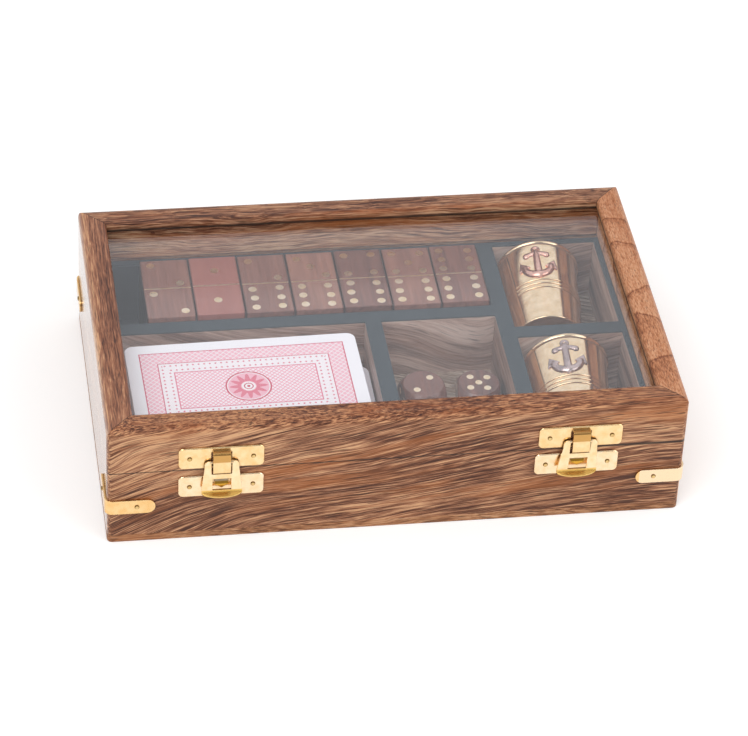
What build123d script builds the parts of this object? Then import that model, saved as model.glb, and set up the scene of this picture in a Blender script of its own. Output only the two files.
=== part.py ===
"""Games compendium box: a glazed wooden case with dominoes, cards, dice and two cups.

The model is built about the middle of the wooden case: X along its length, Y from the
front (-Y) to the hinges (+Y), Z up from the underside. Everything is moved along Y at the
end, so that the origin lies under the middle of the whole object. All sizes are millimetres.
"""
from build123d import *
import os
from math import asin, atan2, cos, degrees, hypot, radians, sin, tan

# ---------------------------------------------------------------- case
CASE_LENGTH = 212.0
CASE_DEPTH = 136.0
CASE_HEIGHT = 51.5
SEAM_HEIGHT = 32.3            # underside of the lid
BOTTOM_THICKNESS = 3.4
BOTTOM_ROUND = 0.5            # lower edge of the bottom panel
WALL_THICKNESS = 7.6
CORNER_RADIUS = 2.0           # upright outer corners

# ---------------------------------------------------------------- tray
LINING_THICKNESS = 2.4
TRAY_TOP = 30.5               # top of the felt on the tray rim
RIM_FELT = 0.6
LINER_THICKNESS = 0.6         # sheet on the floor of each bay
DIVIDER = 6.2
# centre lines of the four dividers, as shares of half the tray's inner length or depth
DOMINO_DIVIDER_SHARE = 0.29483
MAIN_DIVIDER_SHARE = 0.54479
CARD_DIVIDER_SHARE = 0.021875
CUP_DIVIDER_SHARE = 0.05
BAY_FELT = 0.4                # felt on the walls of the domino bay

# ---------------------------------------------------------------- lid
RAIL_WIDTH = 10.2             # lip above the glass
RAIL_LOWER_WIDTH = 8.6        # below the glass
RAIL_OUTER_ROUND = 3.0
RAIL_INNER_ROUND = 1.5
GLASS_THICKNESS = 2.0
GLASS_DROP = 4.0              # lid top to glass top
GLASS_CLEARANCE = 0.1
GROOVE_DEPTH = 3.0

# ---------------------------------------------------------------- brass corner straps
STRAP_LEG = 17.5
STRAP_HEIGHT = 6.1
STRAP_BOTTOM = 13.9
STRAP_THICKNESS = 0.8
STRAP_NAIL = 10.8             # corner to nail

# ---------------------------------------------------------------- nails
NAIL_HEAD_RADIUS = 0.85
NAIL_HEAD_HEIGHT = 0.4
NAIL_HEAD_ROUND = 0.3
NAIL_SHANK_RADIUS = 0.5
NAIL_SHANK_LENGTH = 5.5
NAIL_TIP_RADIUS = 0.1
NAIL_CLEARANCE = 0.03

# ---------------------------------------------------------------- latches
LATCH_FROM_END = 41.2         # end of the case to the middle of a latch
PLATE_LENGTH = 31.0
PLATE_HEIGHT = 9.4
PLATE_THICKNESS = 0.8
PLATE_CORNER = 1.8
PLATE_EDGE = 0.3
LID_PLATE_TO_SEAM = 0.9
CATCH_PLATE_TO_SEAM = 2.7
PLATE_NAIL = 11.5             # plate centre to nail
RIGHT_LATCH_SHIFT = 0.8       # the right-hand latch sits this much nearer its end of the case
RIGHT_LID_PLATE_SHIFT = 0.8   # and its lid plate this much nearer still than its catch plate
RIGHT_CATCH_LIFT = 0.7        # the right-hand catch plate is higher than the left-hand one
RIGHT_HASP_SKEW = 5.0         # degrees that the right-hand hasp leans to reach its catch
TONGUE_WIDTH = 6.4
TONGUE_THICKNESS = 0.65
TONGUE_TOP = 8.0              # above the lid plate's lower edge
TONGUE_DROP = 0.95            # below the lid plate's lower edge
TONGUE_ROUND = 1.2
TONGUE_WINDOW_BOTTOM = 1.0    # lower edge of the hole that the tongue leaves in its plate
PIVOT_HEIGHT = 3.3            # hasp pivot above the lid plate's lower edge
PIVOT_RADIUS = 0.6
PIVOT_CLEARANCE = 0.15
PIVOT_BITE = 0.5              # each end of the pivot bar into the hasp beside its slot
HASP_THICKNESS = 0.8
HASP_TOP_WIDTH = 12.5
HASP_LOW_WIDTH = 14.7
HASP_SHOULDER = 0.55          # metal above the pivot
HASP_SHOULDER_ROUND = 1.8
HASP_LENGTH = 13.0            # pivot to the bend of the thumb lip
HASP_TILT = 6.0               # degrees that the hasp leans out from the wood
SLOT_WIDTH = 7.4              # opening that the tongue passes through
SLOT_LENGTH = 5.0
CROSSBAR = 2.1
WINDOW_WIDTH = 6.8            # opening over the catch
WINDOW_LENGTH = 4.7
LIP_REACH = 2.4
LIP_ANGLE = 65.0              # degrees between hasp and thumb lip
CATCH_WIDTH = 5.0
CATCH_TOP = 0.9               # below the catch plate's upper edge
CATCH_LENGTH = 3.8
CATCH_PROUD = 1.2
CATCH_POINT = 1.7

# ---------------------------------------------------------------- hinges
HINGE_FROM_END = 42.0         # end of the case to the middle of a hinge
HINGE_LENGTH = 26.0
LEAF_HEIGHT = 10.0
LEAF_THICKNESS = 0.9
KNUCKLE_RADIUS = 1.7
KNUCKLE_STANDOFF = 0.2        # knuckle to the wood
KNUCKLE_GAP = 0.15
LEAF_NOTCH = 2.0              # leaf edge to pin axis beside the other leaf's knuckle
LEAF_ROOT = 0.9               # leaf edge to pin axis at its own knuckle
PIN_RADIUS = 0.8
PIN_CLEARANCE = 0.05
PIN_END = 0.4
SCREW_X = 8.0
SCREW_DROP = 6.0              # pin axis to screw
SCREW_HEAD_RADIUS = 1.7
SCREW_SHANK_RADIUS = 0.9
SCREW_LENGTH = 6.0
SCREW_SLOT = 0.4
SCREW_CLEARANCE = 0.03

# ---------------------------------------------------------------- dominoes
TILE_THICKNESS = 7.1
TILE_ROUND = 0.4
TILE_LAYERS = 4
TILE_GAP = 0.25               # between neighbours in a row
ROW_SPACE = 12.3              # left free beside each row
TILE_SIDE_CLEARANCE = 0.4     # tile ends to the felt
TOP_ROW = ("22", "11", "26", "36", "46", "56", "66")  # rear and front pips of each top tile
TILE_END_GAP = 0.4            # last tile to the felt on the main divider
TILE_WANDER = 0.25            # how far tiles lie out of line
PIP_RADIUS = 1.6
PIP_DEPTH = 0.6
PIP_COLUMN_SHARE = 0.285      # of the tile's width, from its middle
PIP_ROW_SHARES = (0.177, 0.497, 0.807)  # of half the tile's length, from the dividing line
PIP_WANDER = 0.3
BAR_WIDTH = 0.6
BAR_DEPTH = 0.5

# ---------------------------------------------------------------- cards
CARD_END_SPACE = 8.4          # bay's length less a card's
CARD_SIDE_SPACE = 16.6        # bay's depth less a card's
CARD_CORNER = 3.2
DECK_THICKNESS = 16.5
DECK_RIGHT_GAP = 0.75         # lower deck to the divider
DECK_FRONT_GAP = 2.1          # lower deck to the front lining
UPPER_DECK_OFFSET = (-5.45, -0.75)
UPPER_DECK_TURN = 1.1

# ---------------------------------------------------------------- dice
DIE_SIDE = 16.0
DIE_SPHERE = 11.0             # radius of the ball that rounds the corners
DIE_PIP_RADIUS = 1.35
DIE_PIP_DEPTH = 0.5
DIE_PIP_SPREAD = 3.2
# share of the bay's length, distance from the front lining, turn about Z, and the turn
# about X and Y that brings a face up
DICE = (
    (0.2909, 45.8, 4.8, (90, 0)),
    (0.7682, 44.7, -7.0, (-90, 0)),
    (0.2364, 27.4, 4.0, (0, 0)),
    (0.7455, 25.6, -9.0, (0, -90)),
    (0.4955, 9.4, 3.0, (180, 0)),
)

# ---------------------------------------------------------------- cups
CUP_END_SPACE = 8.8           # rear cup bay's depth less a cup's length
CUP_RIM_RADIUS = 16.4         # over the rolled rim
CUP_MOUTH_RADIUS = 15.6       # wall just under the rim
CUP_FOOT_RADIUS = 13.5        # wall just above the foot bead
FOOT_BEAD = 0.5
CUP_WALL = 0.9
CUP_BASE = 1.2
CUP_BASE_RECESS = 1.6
RIM_ROLL = 1.1
RIDGE_SHARES = (0.398, 0.447, 0.495)  # of the cup's length, from the foot
RIDGE_HEIGHT = 0.45
CUP_YAW = 3.6                 # degrees, mouth towards the right-hand wall
# middle of each foot: from the main divider, and from the bay's front end
CUP_FOOTS = (("rear", 14.9, 4.4), ("front", 15.3, 8.8))
ANCHOR_SHARE = 0.722          # of the cup's length, foot to the middle of the anchor
ANCHOR_HEIGHT_SHARE = 0.4167  # of the cup's length
ANCHOR_WIDTH = 12.4
ANCHOR_RELIEF = 0.8
ANCHOR_ROLL = 8.0

# ---------------------------------------------------------------- worked out
INNER_X = CASE_LENGTH / 2 - WALL_THICKNESS - LINING_THICKNESS
INNER_Y = CASE_DEPTH / 2 - WALL_THICKNESS - LINING_THICKNESS
RIM_WOOD_TOP = TRAY_TOP - RIM_FELT
FLOOR = BOTTOM_THICKNESS + LINER_THICKNESS
GLASS_TOP = CASE_HEIGHT - GLASS_DROP
FRONT_FACE = -CASE_DEPTH / 2
REAR_FACE = CASE_DEPTH / 2
MAIN_DIVIDER_X = MAIN_DIVIDER_SHARE * INNER_X
CARD_DIVIDER_X = CARD_DIVIDER_SHARE * INNER_X
DOMINO_DIVIDER_Y = DOMINO_DIVIDER_SHARE * INNER_Y
CUP_DIVIDER_Y = CUP_DIVIDER_SHARE * INNER_Y
DOMINO_FRONT = DOMINO_DIVIDER_Y + DIVIDER / 2
DOMINO_RIGHT = MAIN_DIVIDER_X - DIVIDER / 2
LATCH_X = CASE_LENGTH / 2 - LATCH_FROM_END
HINGE_X = CASE_LENGTH / 2 - HINGE_FROM_END
HINGE_AXIS_Y = REAR_FACE + KNUCKLE_RADIUS + KNUCKLE_STANDOFF
PIVOT_Y = FRONT_FACE - PLATE_THICKNESS - PIVOT_CLEARANCE - PIVOT_RADIUS

nodes = {}


def block(x0, x1, y0, y1, z0, z1):
    """Box between two corners."""
    return Pos((x0 + x1) / 2, (y0 + y1) / 2, (z0 + z1) / 2) * Box(x1 - x0, y1 - y0, z1 - z0)


def joined(solids):
    """Separate solids kept together in one node."""
    return Compound(children=[solid.clean() for item in solids for solid in item.solids()])


# ================================================================ case and lid frame
# Each side is drawn as if it were the front, then turned about Z.
SIDES = {
    "front": (0, CASE_LENGTH, CASE_DEPTH / 2),
    "right": (90, CASE_DEPTH, CASE_LENGTH / 2),
    "rear": (180, CASE_LENGTH, CASE_DEPTH / 2),
    "left": (270, CASE_DEPTH, CASE_LENGTH / 2),
}
case_outline = extrude(RectangleRounded(CASE_LENGTH, CASE_DEPTH, CORNER_RADIUS), CASE_HEIGHT)


def mitred(shape, length, distance, inset=0.0):
    """Keep what lies between the two 45 degree planes through the corners of a front side."""
    half = length / 2 - inset
    near = -distance + inset
    depth = min(half, -near) / 2
    outline = Polygon(
        (-half, near), (half, near), (half - depth, near + depth), (-half + depth, near + depth),
        align=None)
    return shape & extrude(outline, CASE_HEIGHT)


def side_board(name, inset, thickness, z0, z1):
    """Upright mitred board whose outer face lies inset from the outside of the case."""
    turn, length, distance = SIDES[name]
    board = block(-length / 2 + inset, length / 2 - inset,
                  -distance + inset, -distance + inset + thickness, z0, z1)
    return Rot(0, 0, turn) * mitred(board, length, distance, inset)


def lid_rail(name):
    """Moulded lid rail with the groove that holds the glass."""
    turn, length, distance = SIDES[name]
    groove_top = GLASS_TOP + GLASS_CLEARANCE
    groove_bottom = GLASS_TOP - GLASS_THICKNESS - GLASS_CLEARANCE
    groove_end = RAIL_WIDTH - GROOVE_DEPTH
    section = make_face(Polyline(
        (0, SEAM_HEIGHT), (0, CASE_HEIGHT), (RAIL_WIDTH, CASE_HEIGHT), (RAIL_WIDTH, groove_top),
        (groove_end, groove_top), (groove_end, groove_bottom), (RAIL_LOWER_WIDTH, groove_bottom),
        (RAIL_LOWER_WIDTH, SEAM_HEIGHT), close=True))
    outer_corner = section.vertices().group_by(Axis.Y)[-1].sort_by(Axis.X)[0]
    section = fillet(outer_corner, RAIL_OUTER_ROUND)
    inner_corner = section.vertices().group_by(Axis.Y)[-1].sort_by(Axis.X)[-1]
    section = fillet(inner_corner, RAIL_INNER_ROUND)
    start = Plane(origin=(-length / 2, -distance, 0), x_dir=(0, 1, 0), z_dir=(1, 0, 0))
    rail = mitred(extrude(start * section, length), length, distance)
    return (Rot(0, 0, turn) * rail) & case_outline


nodes["base_bottom"] = fillet(
    extrude(RectangleRounded(CASE_LENGTH, CASE_DEPTH, CORNER_RADIUS), BOTTOM_THICKNESS)
    .faces().sort_by(Axis.Z)[0].edges(), BOTTOM_ROUND)
for side in SIDES:
    nodes[f"base_{side}_wall"] = case_outline & side_board(
        side, 0, WALL_THICKNESS, BOTTOM_THICKNESS, SEAM_HEIGHT)
    nodes[f"tray_{side}_lining"] = side_board(
        side, WALL_THICKNESS, LINING_THICKNESS, BOTTOM_THICKNESS, RIM_WOOD_TOP)
    nodes[f"lid_{side}_rail"] = lid_rail(side)

pane_margin = RAIL_WIDTH - GROOVE_DEPTH + GLASS_CLEARANCE
nodes["glass_pane"] = block(
    -CASE_LENGTH / 2 + pane_margin, CASE_LENGTH / 2 - pane_margin,
    -CASE_DEPTH / 2 + pane_margin, CASE_DEPTH / 2 - pane_margin,
    GLASS_TOP - GLASS_THICKNESS - GLASS_CLEARANCE, GLASS_TOP - GLASS_CLEARANCE)

# ================================================================ tray
half_divider = DIVIDER / 2
dividers = {
    "main_divider": (MAIN_DIVIDER_X - half_divider, MAIN_DIVIDER_X + half_divider, -INNER_Y, INNER_Y),
    "domino_divider": (-INNER_X, DOMINO_RIGHT,
                       DOMINO_DIVIDER_Y - half_divider, DOMINO_DIVIDER_Y + half_divider),
    "card_divider": (CARD_DIVIDER_X - half_divider, CARD_DIVIDER_X + half_divider,
                     -INNER_Y, DOMINO_DIVIDER_Y - half_divider),
    "cup_divider": (MAIN_DIVIDER_X + half_divider, INNER_X,
                    CUP_DIVIDER_Y - half_divider, CUP_DIVIDER_Y + half_divider),
}
for name, plan in dividers.items():
    nodes[name] = block(*plan, BOTTOM_THICKNESS, RIM_WOOD_TOP)

bays = {
    "domino": (-INNER_X, DOMINO_RIGHT, DOMINO_FRONT, INNER_Y),
    "card": (-INNER_X, CARD_DIVIDER_X - half_divider, -INNER_Y, DOMINO_DIVIDER_Y - half_divider),
    "dice": (CARD_DIVIDER_X + half_divider, DOMINO_RIGHT, -INNER_Y, DOMINO_DIVIDER_Y - half_divider),
    "rear_cup": (MAIN_DIVIDER_X + half_divider, INNER_X, CUP_DIVIDER_Y + half_divider, INNER_Y),
    "front_cup": (MAIN_DIVIDER_X + half_divider, INNER_X, -INNER_Y, CUP_DIVIDER_Y - half_divider),
}
rim_x = INNER_X + LINING_THICKNESS
rim_y = INNER_Y + LINING_THICKNESS
rim_felt = block(-rim_x, rim_x, -rim_y, rim_y, RIM_WOOD_TOP, TRAY_TOP)
for plan in bays.values():
    rim_felt -= block(*plan, RIM_WOOD_TOP, TRAY_TOP)
nodes["tray_rim_felt"] = rim_felt

x0, x1, y0, y1 = bays["domino"]
nodes["domino_bay_felt"] = (
    block(x0, x1, y0, y1, BOTTOM_THICKNESS, RIM_WOOD_TOP)
    - block(x0 + BAY_FELT, x1 - BAY_FELT, y0 + BAY_FELT, y1 - BAY_FELT, FLOOR, RIM_WOOD_TOP))
nodes["bay_floor_liners"] = joined(
    block(*plan, BOTTOM_THICKNESS, FLOOR) for name, plan in bays.items() if name != "domino")


# ================================================================ nails and corner straps
def nail():
    """Round-headed brass pin along +Z, with the underside of its head at Z = 0."""
    head = Cylinder(NAIL_HEAD_RADIUS, NAIL_HEAD_HEIGHT, align=(Align.CENTER, Align.CENTER, Align.MIN))
    head = fillet(head.faces().sort_by(Axis.Z)[-1].edges(), NAIL_HEAD_ROUND)
    shank = Cylinder(NAIL_SHANK_RADIUS, NAIL_SHANK_LENGTH, align=(Align.CENTER, Align.CENTER, Align.MAX))
    tip = Pos(0, 0, -NAIL_SHANK_LENGTH) * Cone(
        NAIL_TIP_RADIUS, NAIL_SHANK_RADIUS, 2 * NAIL_SHANK_RADIUS,
        align=(Align.CENTER, Align.CENTER, Align.MAX))
    return head + shank + tip


def nail_hole():
    """What a nail's shank takes out of the pieces that it holds."""
    length = NAIL_SHANK_LENGTH + 2 * NAIL_SHANK_RADIUS
    return Cylinder(NAIL_SHANK_RADIUS + NAIL_CLEARANCE, length + NAIL_HEAD_HEIGHT / 2,
                    align=(Align.CENTER, Align.CENTER, Align.MAX))


def on_side(name, along, out, height):
    """Place on an outer face of the case, with +Z pointing out of it."""
    turn, _, distance = SIDES[name]
    return Rot(0, 0, turn) * Pos(along, -distance - out, height) * Rot(90, 0, 0)


def corner_strap(end, front):
    """L-shaped brass strap at the corner where end is -1 or 1 in X and front -1 or 1 in Y."""
    top = STRAP_BOTTOM + STRAP_HEIGHT
    middle = STRAP_BOTTOM + STRAP_HEIGHT / 2
    wrap = extrude(RectangleRounded(
        CASE_LENGTH + 2 * STRAP_THICKNESS, CASE_DEPTH + 2 * STRAP_THICKNESS,
        CORNER_RADIUS + STRAP_THICKNESS), CASE_HEIGHT) - case_outline
    legs = []
    for half, reach in ((CASE_LENGTH / 2, CASE_DEPTH / 2), (CASE_DEPTH / 2, CASE_LENGTH / 2)):
        leg = block(-half - STRAP_THICKNESS, -half + STRAP_LEG - STRAP_HEIGHT / 2,
                    -reach - STRAP_THICKNESS, -reach + CORNER_RADIUS, STRAP_BOTTOM, top)
        round_end = Pos(-half + STRAP_LEG - STRAP_HEIGHT / 2, -reach, middle) * Rot(90, 0, 0) * Cylinder(
            STRAP_HEIGHT / 2, 2 * STRAP_THICKNESS)
        legs.append(leg + round_end)
    # the second leg is the first one's mirror image in the plane X = Y
    side_leg = Rot(0, 0, 90) * mirror(legs[1], about=Plane.XZ)
    strap = wrap & (legs[0] + side_leg)
    if end > 0:
        strap = mirror(strap, about=Plane.YZ)
    if front > 0:
        strap = mirror(strap, about=Plane.XZ)
    return strap


strap_height = STRAP_BOTTOM + STRAP_HEIGHT / 2
strap_nail_spots = [
    (side, end * (SIDES[side][1] / 2 - STRAP_NAIL)) for side in SIDES for end in (-1, 1)]
strap_nail_places = [on_side(side, along, STRAP_THICKNESS, strap_height)
                     for side, along in strap_nail_spots]
nodes["strap_nails"] = joined(place * nail() for place in strap_nail_places)
strap_holes = [place * nail_hole() for place in strap_nail_places]
for front, front_name in ((-1, "front"), (1, "rear")):
    for end, end_name in ((-1, "left"), (1, "right")):
        strap = corner_strap(end, front)
        for hole in strap_holes:
            strap -= hole
        nodes[f"{front_name}_{end_name}_strap"] = strap
for side in SIDES:
    for (owner, _), hole in zip(strap_nail_spots, strap_holes):
        if owner == side:
            nodes[f"base_{side}_wall"] -= hole


# ================================================================ latches
def latch_plate(x, z0):
    """Brass plate flat on the front of the case, lower edge at z0."""
    plate = Pos(x, FRONT_FACE, z0 + PLATE_HEIGHT / 2) * Rot(90, 0, 0) * extrude(
        RectangleRounded(PLATE_LENGTH, PLATE_HEIGHT, PLATE_CORNER), PLATE_THICKNESS)
    return chamfer(plate.faces().sort_by(Axis.Y)[0].edges(), PLATE_EDGE)


def tongue(x, z0):
    """Strip lanced out of the lid plate and folded down over the hasp's pivot bar."""
    inner = PLATE_THICKNESS + 2 * PIVOT_CLEARANCE + 2 * PIVOT_RADIUS
    outer = inner + TONGUE_THICKNESS
    root = PLATE_THICKNESS / 2
    section = make_face(Polyline(
        (root, TONGUE_TOP), (outer, TONGUE_TOP), (outer, -TONGUE_DROP), (inner, -TONGUE_DROP),
        (inner, TONGUE_TOP - TONGUE_THICKNESS), (root, TONGUE_TOP - TONGUE_THICKNESS), close=True))
    bends = section.vertices().group_by(Axis.Y)
    section = fillet(bends[-1].sort_by(Axis.X)[-1], TONGUE_ROUND)
    inner_bend = [v for v in section.vertices()
                  if abs(v.X - inner) < 0.01 and v.Y > 0]
    section = fillet(inner_bend, TONGUE_ROUND - TONGUE_THICKNESS)
    start = Plane(origin=(x - TONGUE_WIDTH / 2, FRONT_FACE, z0), x_dir=(0, -1, 0), z_dir=(-1, 0, 0))
    return extrude(start * section, -TONGUE_WIDTH)


def hasp(x, z_pivot, skew):
    """Bell-shaped hasp hanging from its pivot bar, with a thumb lip along its lower edge."""
    def across(left, right, height):
        # a pair of points, moved sideways as the hasp leans over below its pivot
        lean = height * tan(radians(skew))
        return (left + lean, height), (right + lean, height)

    def between(width, high, low):
        (a, b), (c, d) = across(-width / 2, width / 2, low), across(-width / 2, width / 2, high)
        return Polygon(a, b, d, c, align=None)

    shoulder_low = -SLOT_LENGTH / 2
    skirt_top = -HASP_LENGTH + 2 * HASP_SHOULDER
    slot_low = -SLOT_LENGTH
    window_top = slot_low - CROSSBAR
    head = between(HASP_TOP_WIDTH, HASP_SHOULDER, shoulder_low)
    head = fillet(head.vertices().group_by(Axis.Y)[-1], HASP_SHOULDER_ROUND)
    (a, b), (c, d) = (across(-HASP_LOW_WIDTH / 2, HASP_LOW_WIDTH / 2, skirt_top),
                      across(-HASP_TOP_WIDTH / 2, HASP_TOP_WIDTH / 2, shoulder_low))
    outline = head + Polygon(a, b, d, c, align=None) + between(HASP_LOW_WIDTH, skirt_top, -HASP_LENGTH)
    slot = between(SLOT_WIDTH, 2 * HASP_SHOULDER, slot_low)
    window = between(WINDOW_WIDTH, window_top, window_top - WINDOW_LENGTH)
    sheet = extrude(outline - slot - window, HASP_THICKNESS / 2, both=True)
    half_disc = Ellipse(HASP_LOW_WIDTH / 2, LIP_REACH) & Pos(0, -LIP_REACH / 2) * Rectangle(
        HASP_LOW_WIDTH, LIP_REACH)
    lip = extrude(half_disc, HASP_THICKNESS / 2, both=True)
    bend = Rot(0, 90, 0) * Cylinder(HASP_THICKNESS / 2, HASP_LOW_WIDTH)
    lower_edge = Pos(-HASP_LENGTH * tan(radians(skew)), -HASP_LENGTH, 0)
    bar = Rot(0, 90, 0) * Cylinder(PIVOT_RADIUS, SLOT_WIDTH + 2 * PIVOT_BITE)
    flat_hasp = sheet + lower_edge * (bend + Rot(-LIP_ANGLE, 0, 0) * lip) + bar
    return Pos(x, PIVOT_Y, z_pivot) * Rot(90 - HASP_TILT, 0, 0) * flat_hasp


def catch(x, z_top):
    """Sprung nose pressed out of the catch plate, pointed at its lower end."""
    high = z_top - CATCH_TOP
    low = high - CATCH_LENGTH
    front = Polygon(
        (-CATCH_WIDTH / 2, low + CATCH_POINT), (0, low), (CATCH_WIDTH / 2, low + CATCH_POINT),
        (CATCH_WIDTH / 2, high), (-CATCH_WIDTH / 2, high), align=None)
    root = PLATE_THICKNESS / 2
    nose = Pos(x, FRONT_FACE - root, 0) * Rot(90, 0, 0) * extrude(front, root + CATCH_PROUD)
    proud = PLATE_THICKNESS + CATCH_PROUD
    wedge = Polygon((root, low), (proud, low), (proud, low + CATCH_POINT), (PLATE_THICKNESS, high),
                    (root, high), align=None)
    start = Plane(origin=(x - CATCH_WIDTH / 2, FRONT_FACE, 0), x_dir=(0, -1, 0), z_dir=(-1, 0, 0))
    return nose & extrude(start * wedge, -CATCH_WIDTH)


lid_nails = []
catch_nails = []
hasp_pivots = {}
# middle of the catch plate, shift of the lid plate, lift of the catch plate, skew of the hasp
latches = {
    "left": (-LATCH_X, 0, 0, 0),
    "right": (LATCH_X + RIGHT_LATCH_SHIFT, RIGHT_LID_PLATE_SHIFT, RIGHT_CATCH_LIFT, RIGHT_HASP_SKEW),
}
for name, (x, shift, lift, skew) in latches.items():
    plate_x = x + shift
    plate_z = SEAM_HEIGHT + LID_PLATE_TO_SEAM
    catch_top = SEAM_HEIGHT - CATCH_PLATE_TO_SEAM + lift
    lid_plate = latch_plate(plate_x, plate_z)
    lid_plate -= block(plate_x - SLOT_WIDTH / 2, plate_x + SLOT_WIDTH / 2,
                       FRONT_FACE - PLATE_THICKNESS, FRONT_FACE,
                       plate_z + TONGUE_WINDOW_BOTTOM, plate_z + TONGUE_TOP - TONGUE_THICKNESS)
    lid_plate += tongue(plate_x, plate_z)
    catch_plate = latch_plate(x, catch_top - PLATE_HEIGHT) + catch(x, catch_top)
    for end in (-1, 1):
        upper = on_side("front", plate_x + end * PLATE_NAIL, PLATE_THICKNESS, plate_z + PLATE_HEIGHT / 2)
        lower = on_side("front", x + end * PLATE_NAIL, PLATE_THICKNESS, catch_top - PLATE_HEIGHT / 2)
        lid_nails.append(upper * nail())
        catch_nails.append(lower * nail())
        lid_plate -= upper * nail_hole()
        catch_plate -= lower * nail_hole()
        nodes["lid_front_rail"] -= upper * nail_hole()
        nodes["base_front_wall"] -= lower * nail_hole()
    nodes[f"{name}_hasp_plate"] = lid_plate
    nodes[f"{name}_catch_plate"] = catch_plate
    hasp_pivots[name] = (plate_x, plate_z + PIVOT_HEIGHT)
    nodes[f"{name}_hasp"] = hasp(plate_x, plate_z + PIVOT_HEIGHT, skew)
nodes["hasp_plate_nails"] = joined(lid_nails)
nodes["catch_plate_nails"] = joined(catch_nails)


# ================================================================ hinges
def screw():
    """Slotted countersunk screw along +Z, head flush with Z = 0."""
    head = Cone(SCREW_SHANK_RADIUS, SCREW_HEAD_RADIUS, LEAF_THICKNESS,
                align=(Align.CENTER, Align.CENTER, Align.MAX))
    shank = Cylinder(SCREW_SHANK_RADIUS, SCREW_LENGTH, align=(Align.CENTER, Align.CENTER, Align.MAX))
    slot = Box(2 * SCREW_HEAD_RADIUS, SCREW_SLOT, SCREW_SLOT)
    return head + shank - slot


def screw_hole():
    """What a screw takes out of the leaf and the wood."""
    head = Cone(SCREW_SHANK_RADIUS + SCREW_CLEARANCE, SCREW_HEAD_RADIUS + SCREW_CLEARANCE,
                LEAF_THICKNESS, align=(Align.CENTER, Align.CENTER, Align.MAX))
    shank = Cylinder(SCREW_SHANK_RADIUS + SCREW_CLEARANCE, SCREW_LENGTH,
                     align=(Align.CENTER, Align.CENTER, Align.MAX))
    return head + shank


def hinge_leaf(x, up, own_spans, other_spans):
    """Leaf above (up = 1) or below (up = -1) the pin, with knuckles over own_spans."""
    z_far = SEAM_HEIGHT + up * LEAF_HEIGHT
    z_near = SEAM_HEIGHT + up * LEAF_ROOT
    leaf = block(x - HINGE_LENGTH / 2, x + HINGE_LENGTH / 2, REAR_FACE, REAR_FACE + LEAF_THICKNESS,
                 min(z_near, z_far), max(z_near, z_far))
    far_edges = leaf.edges().filter_by(Axis.Y).group_by(Axis.Z)[-1 if up > 0 else 0]
    leaf = fillet(far_edges, PLATE_CORNER)
    z_notch = SEAM_HEIGHT + up * LEAF_NOTCH
    for a, b in other_spans:
        leaf -= block(x + a - KNUCKLE_GAP, x + b + KNUCKLE_GAP, REAR_FACE, REAR_FACE + LEAF_THICKNESS,
                      min(SEAM_HEIGHT, z_notch), max(SEAM_HEIGHT, z_notch))
    for a, b in own_spans:
        leaf += Pos(x + (a + b) / 2, HINGE_AXIS_Y, SEAM_HEIGHT) * Rot(0, 90, 0) * Cylinder(
            KNUCKLE_RADIUS, b - a)
    bore = Rot(0, 90, 0) * Cylinder(PIN_RADIUS + PIN_CLEARANCE, HINGE_LENGTH + 2 * PIN_END)
    return leaf - Pos(x, HINGE_AXIS_Y, SEAM_HEIGHT) * bore


third = HINGE_LENGTH / 6
lid_spans = [(-third + KNUCKLE_GAP / 2, third - KNUCKLE_GAP / 2)]
base_spans = [(-HINGE_LENGTH / 2, -third - KNUCKLE_GAP / 2), (third + KNUCKLE_GAP / 2, HINGE_LENGTH / 2)]
base_screws = []
lid_screws = []
for name, x in (("left", -HINGE_X), ("right", HINGE_X)):
    lid_leaf = hinge_leaf(x, 1, lid_spans, base_spans)
    base_leaf = hinge_leaf(x, -1, base_spans, lid_spans)
    for end in (-1, 1):
        upper = on_side("rear", -x + end * SCREW_X, LEAF_THICKNESS, SEAM_HEIGHT + SCREW_DROP)
        lower = on_side("rear", -x + end * SCREW_X, LEAF_THICKNESS, SEAM_HEIGHT - SCREW_DROP)
        lid_screws.append(upper * screw())
        base_screws.append(lower * screw())
        lid_leaf -= upper * screw_hole()
        base_leaf -= lower * screw_hole()
        nodes["lid_rear_rail"] -= upper * screw_hole()
        nodes["base_rear_wall"] -= lower * screw_hole()
    nodes[f"{name}_hinge_lid_leaf"] = lid_leaf
    nodes[f"{name}_hinge_base_leaf"] = base_leaf
    nodes[f"{name}_hinge_pin"] = Pos(x, HINGE_AXIS_Y, SEAM_HEIGHT) * Rot(0, 90, 0) * Cylinder(
        PIN_RADIUS, HINGE_LENGTH + 2 * PIN_END)
nodes["hinge_lid_screws"] = joined(lid_screws)
nodes["hinge_base_screws"] = joined(base_screws)


# ================================================================ dominoes
row_length = len(TOP_ROW)
row_room = DOMINO_RIGHT + INNER_X - 2 * BAY_FELT - TILE_END_GAP - ROW_SPACE
TILE_PITCH = (row_room + TILE_GAP) / row_length
TILE_WIDTH = TILE_PITCH - TILE_GAP
TILE_LENGTH = INNER_Y - DOMINO_FRONT - 2 * BAY_FELT - 2 * TILE_SIDE_CLEARANCE


def pip_spots(count):
    """Pip places on the half in front of the dividing line: across, and away from the line."""
    near, middle, far = (share * TILE_LENGTH / 2 for share in PIP_ROW_SHARES)
    c = PIP_COLUMN_SHARE * TILE_WIDTH
    spots = {
        0: [], 1: [(0, middle)], 2: [(-c, near), (c, far)],
        4: [(-c, near), (c, near), (-c, far), (c, far)],
    }
    spots[3] = spots[2] + spots[1]
    spots[5] = spots[4] + spots[1]
    spots[6] = spots[4] + [(-c, middle), (c, middle)]
    return spots[count]


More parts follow.
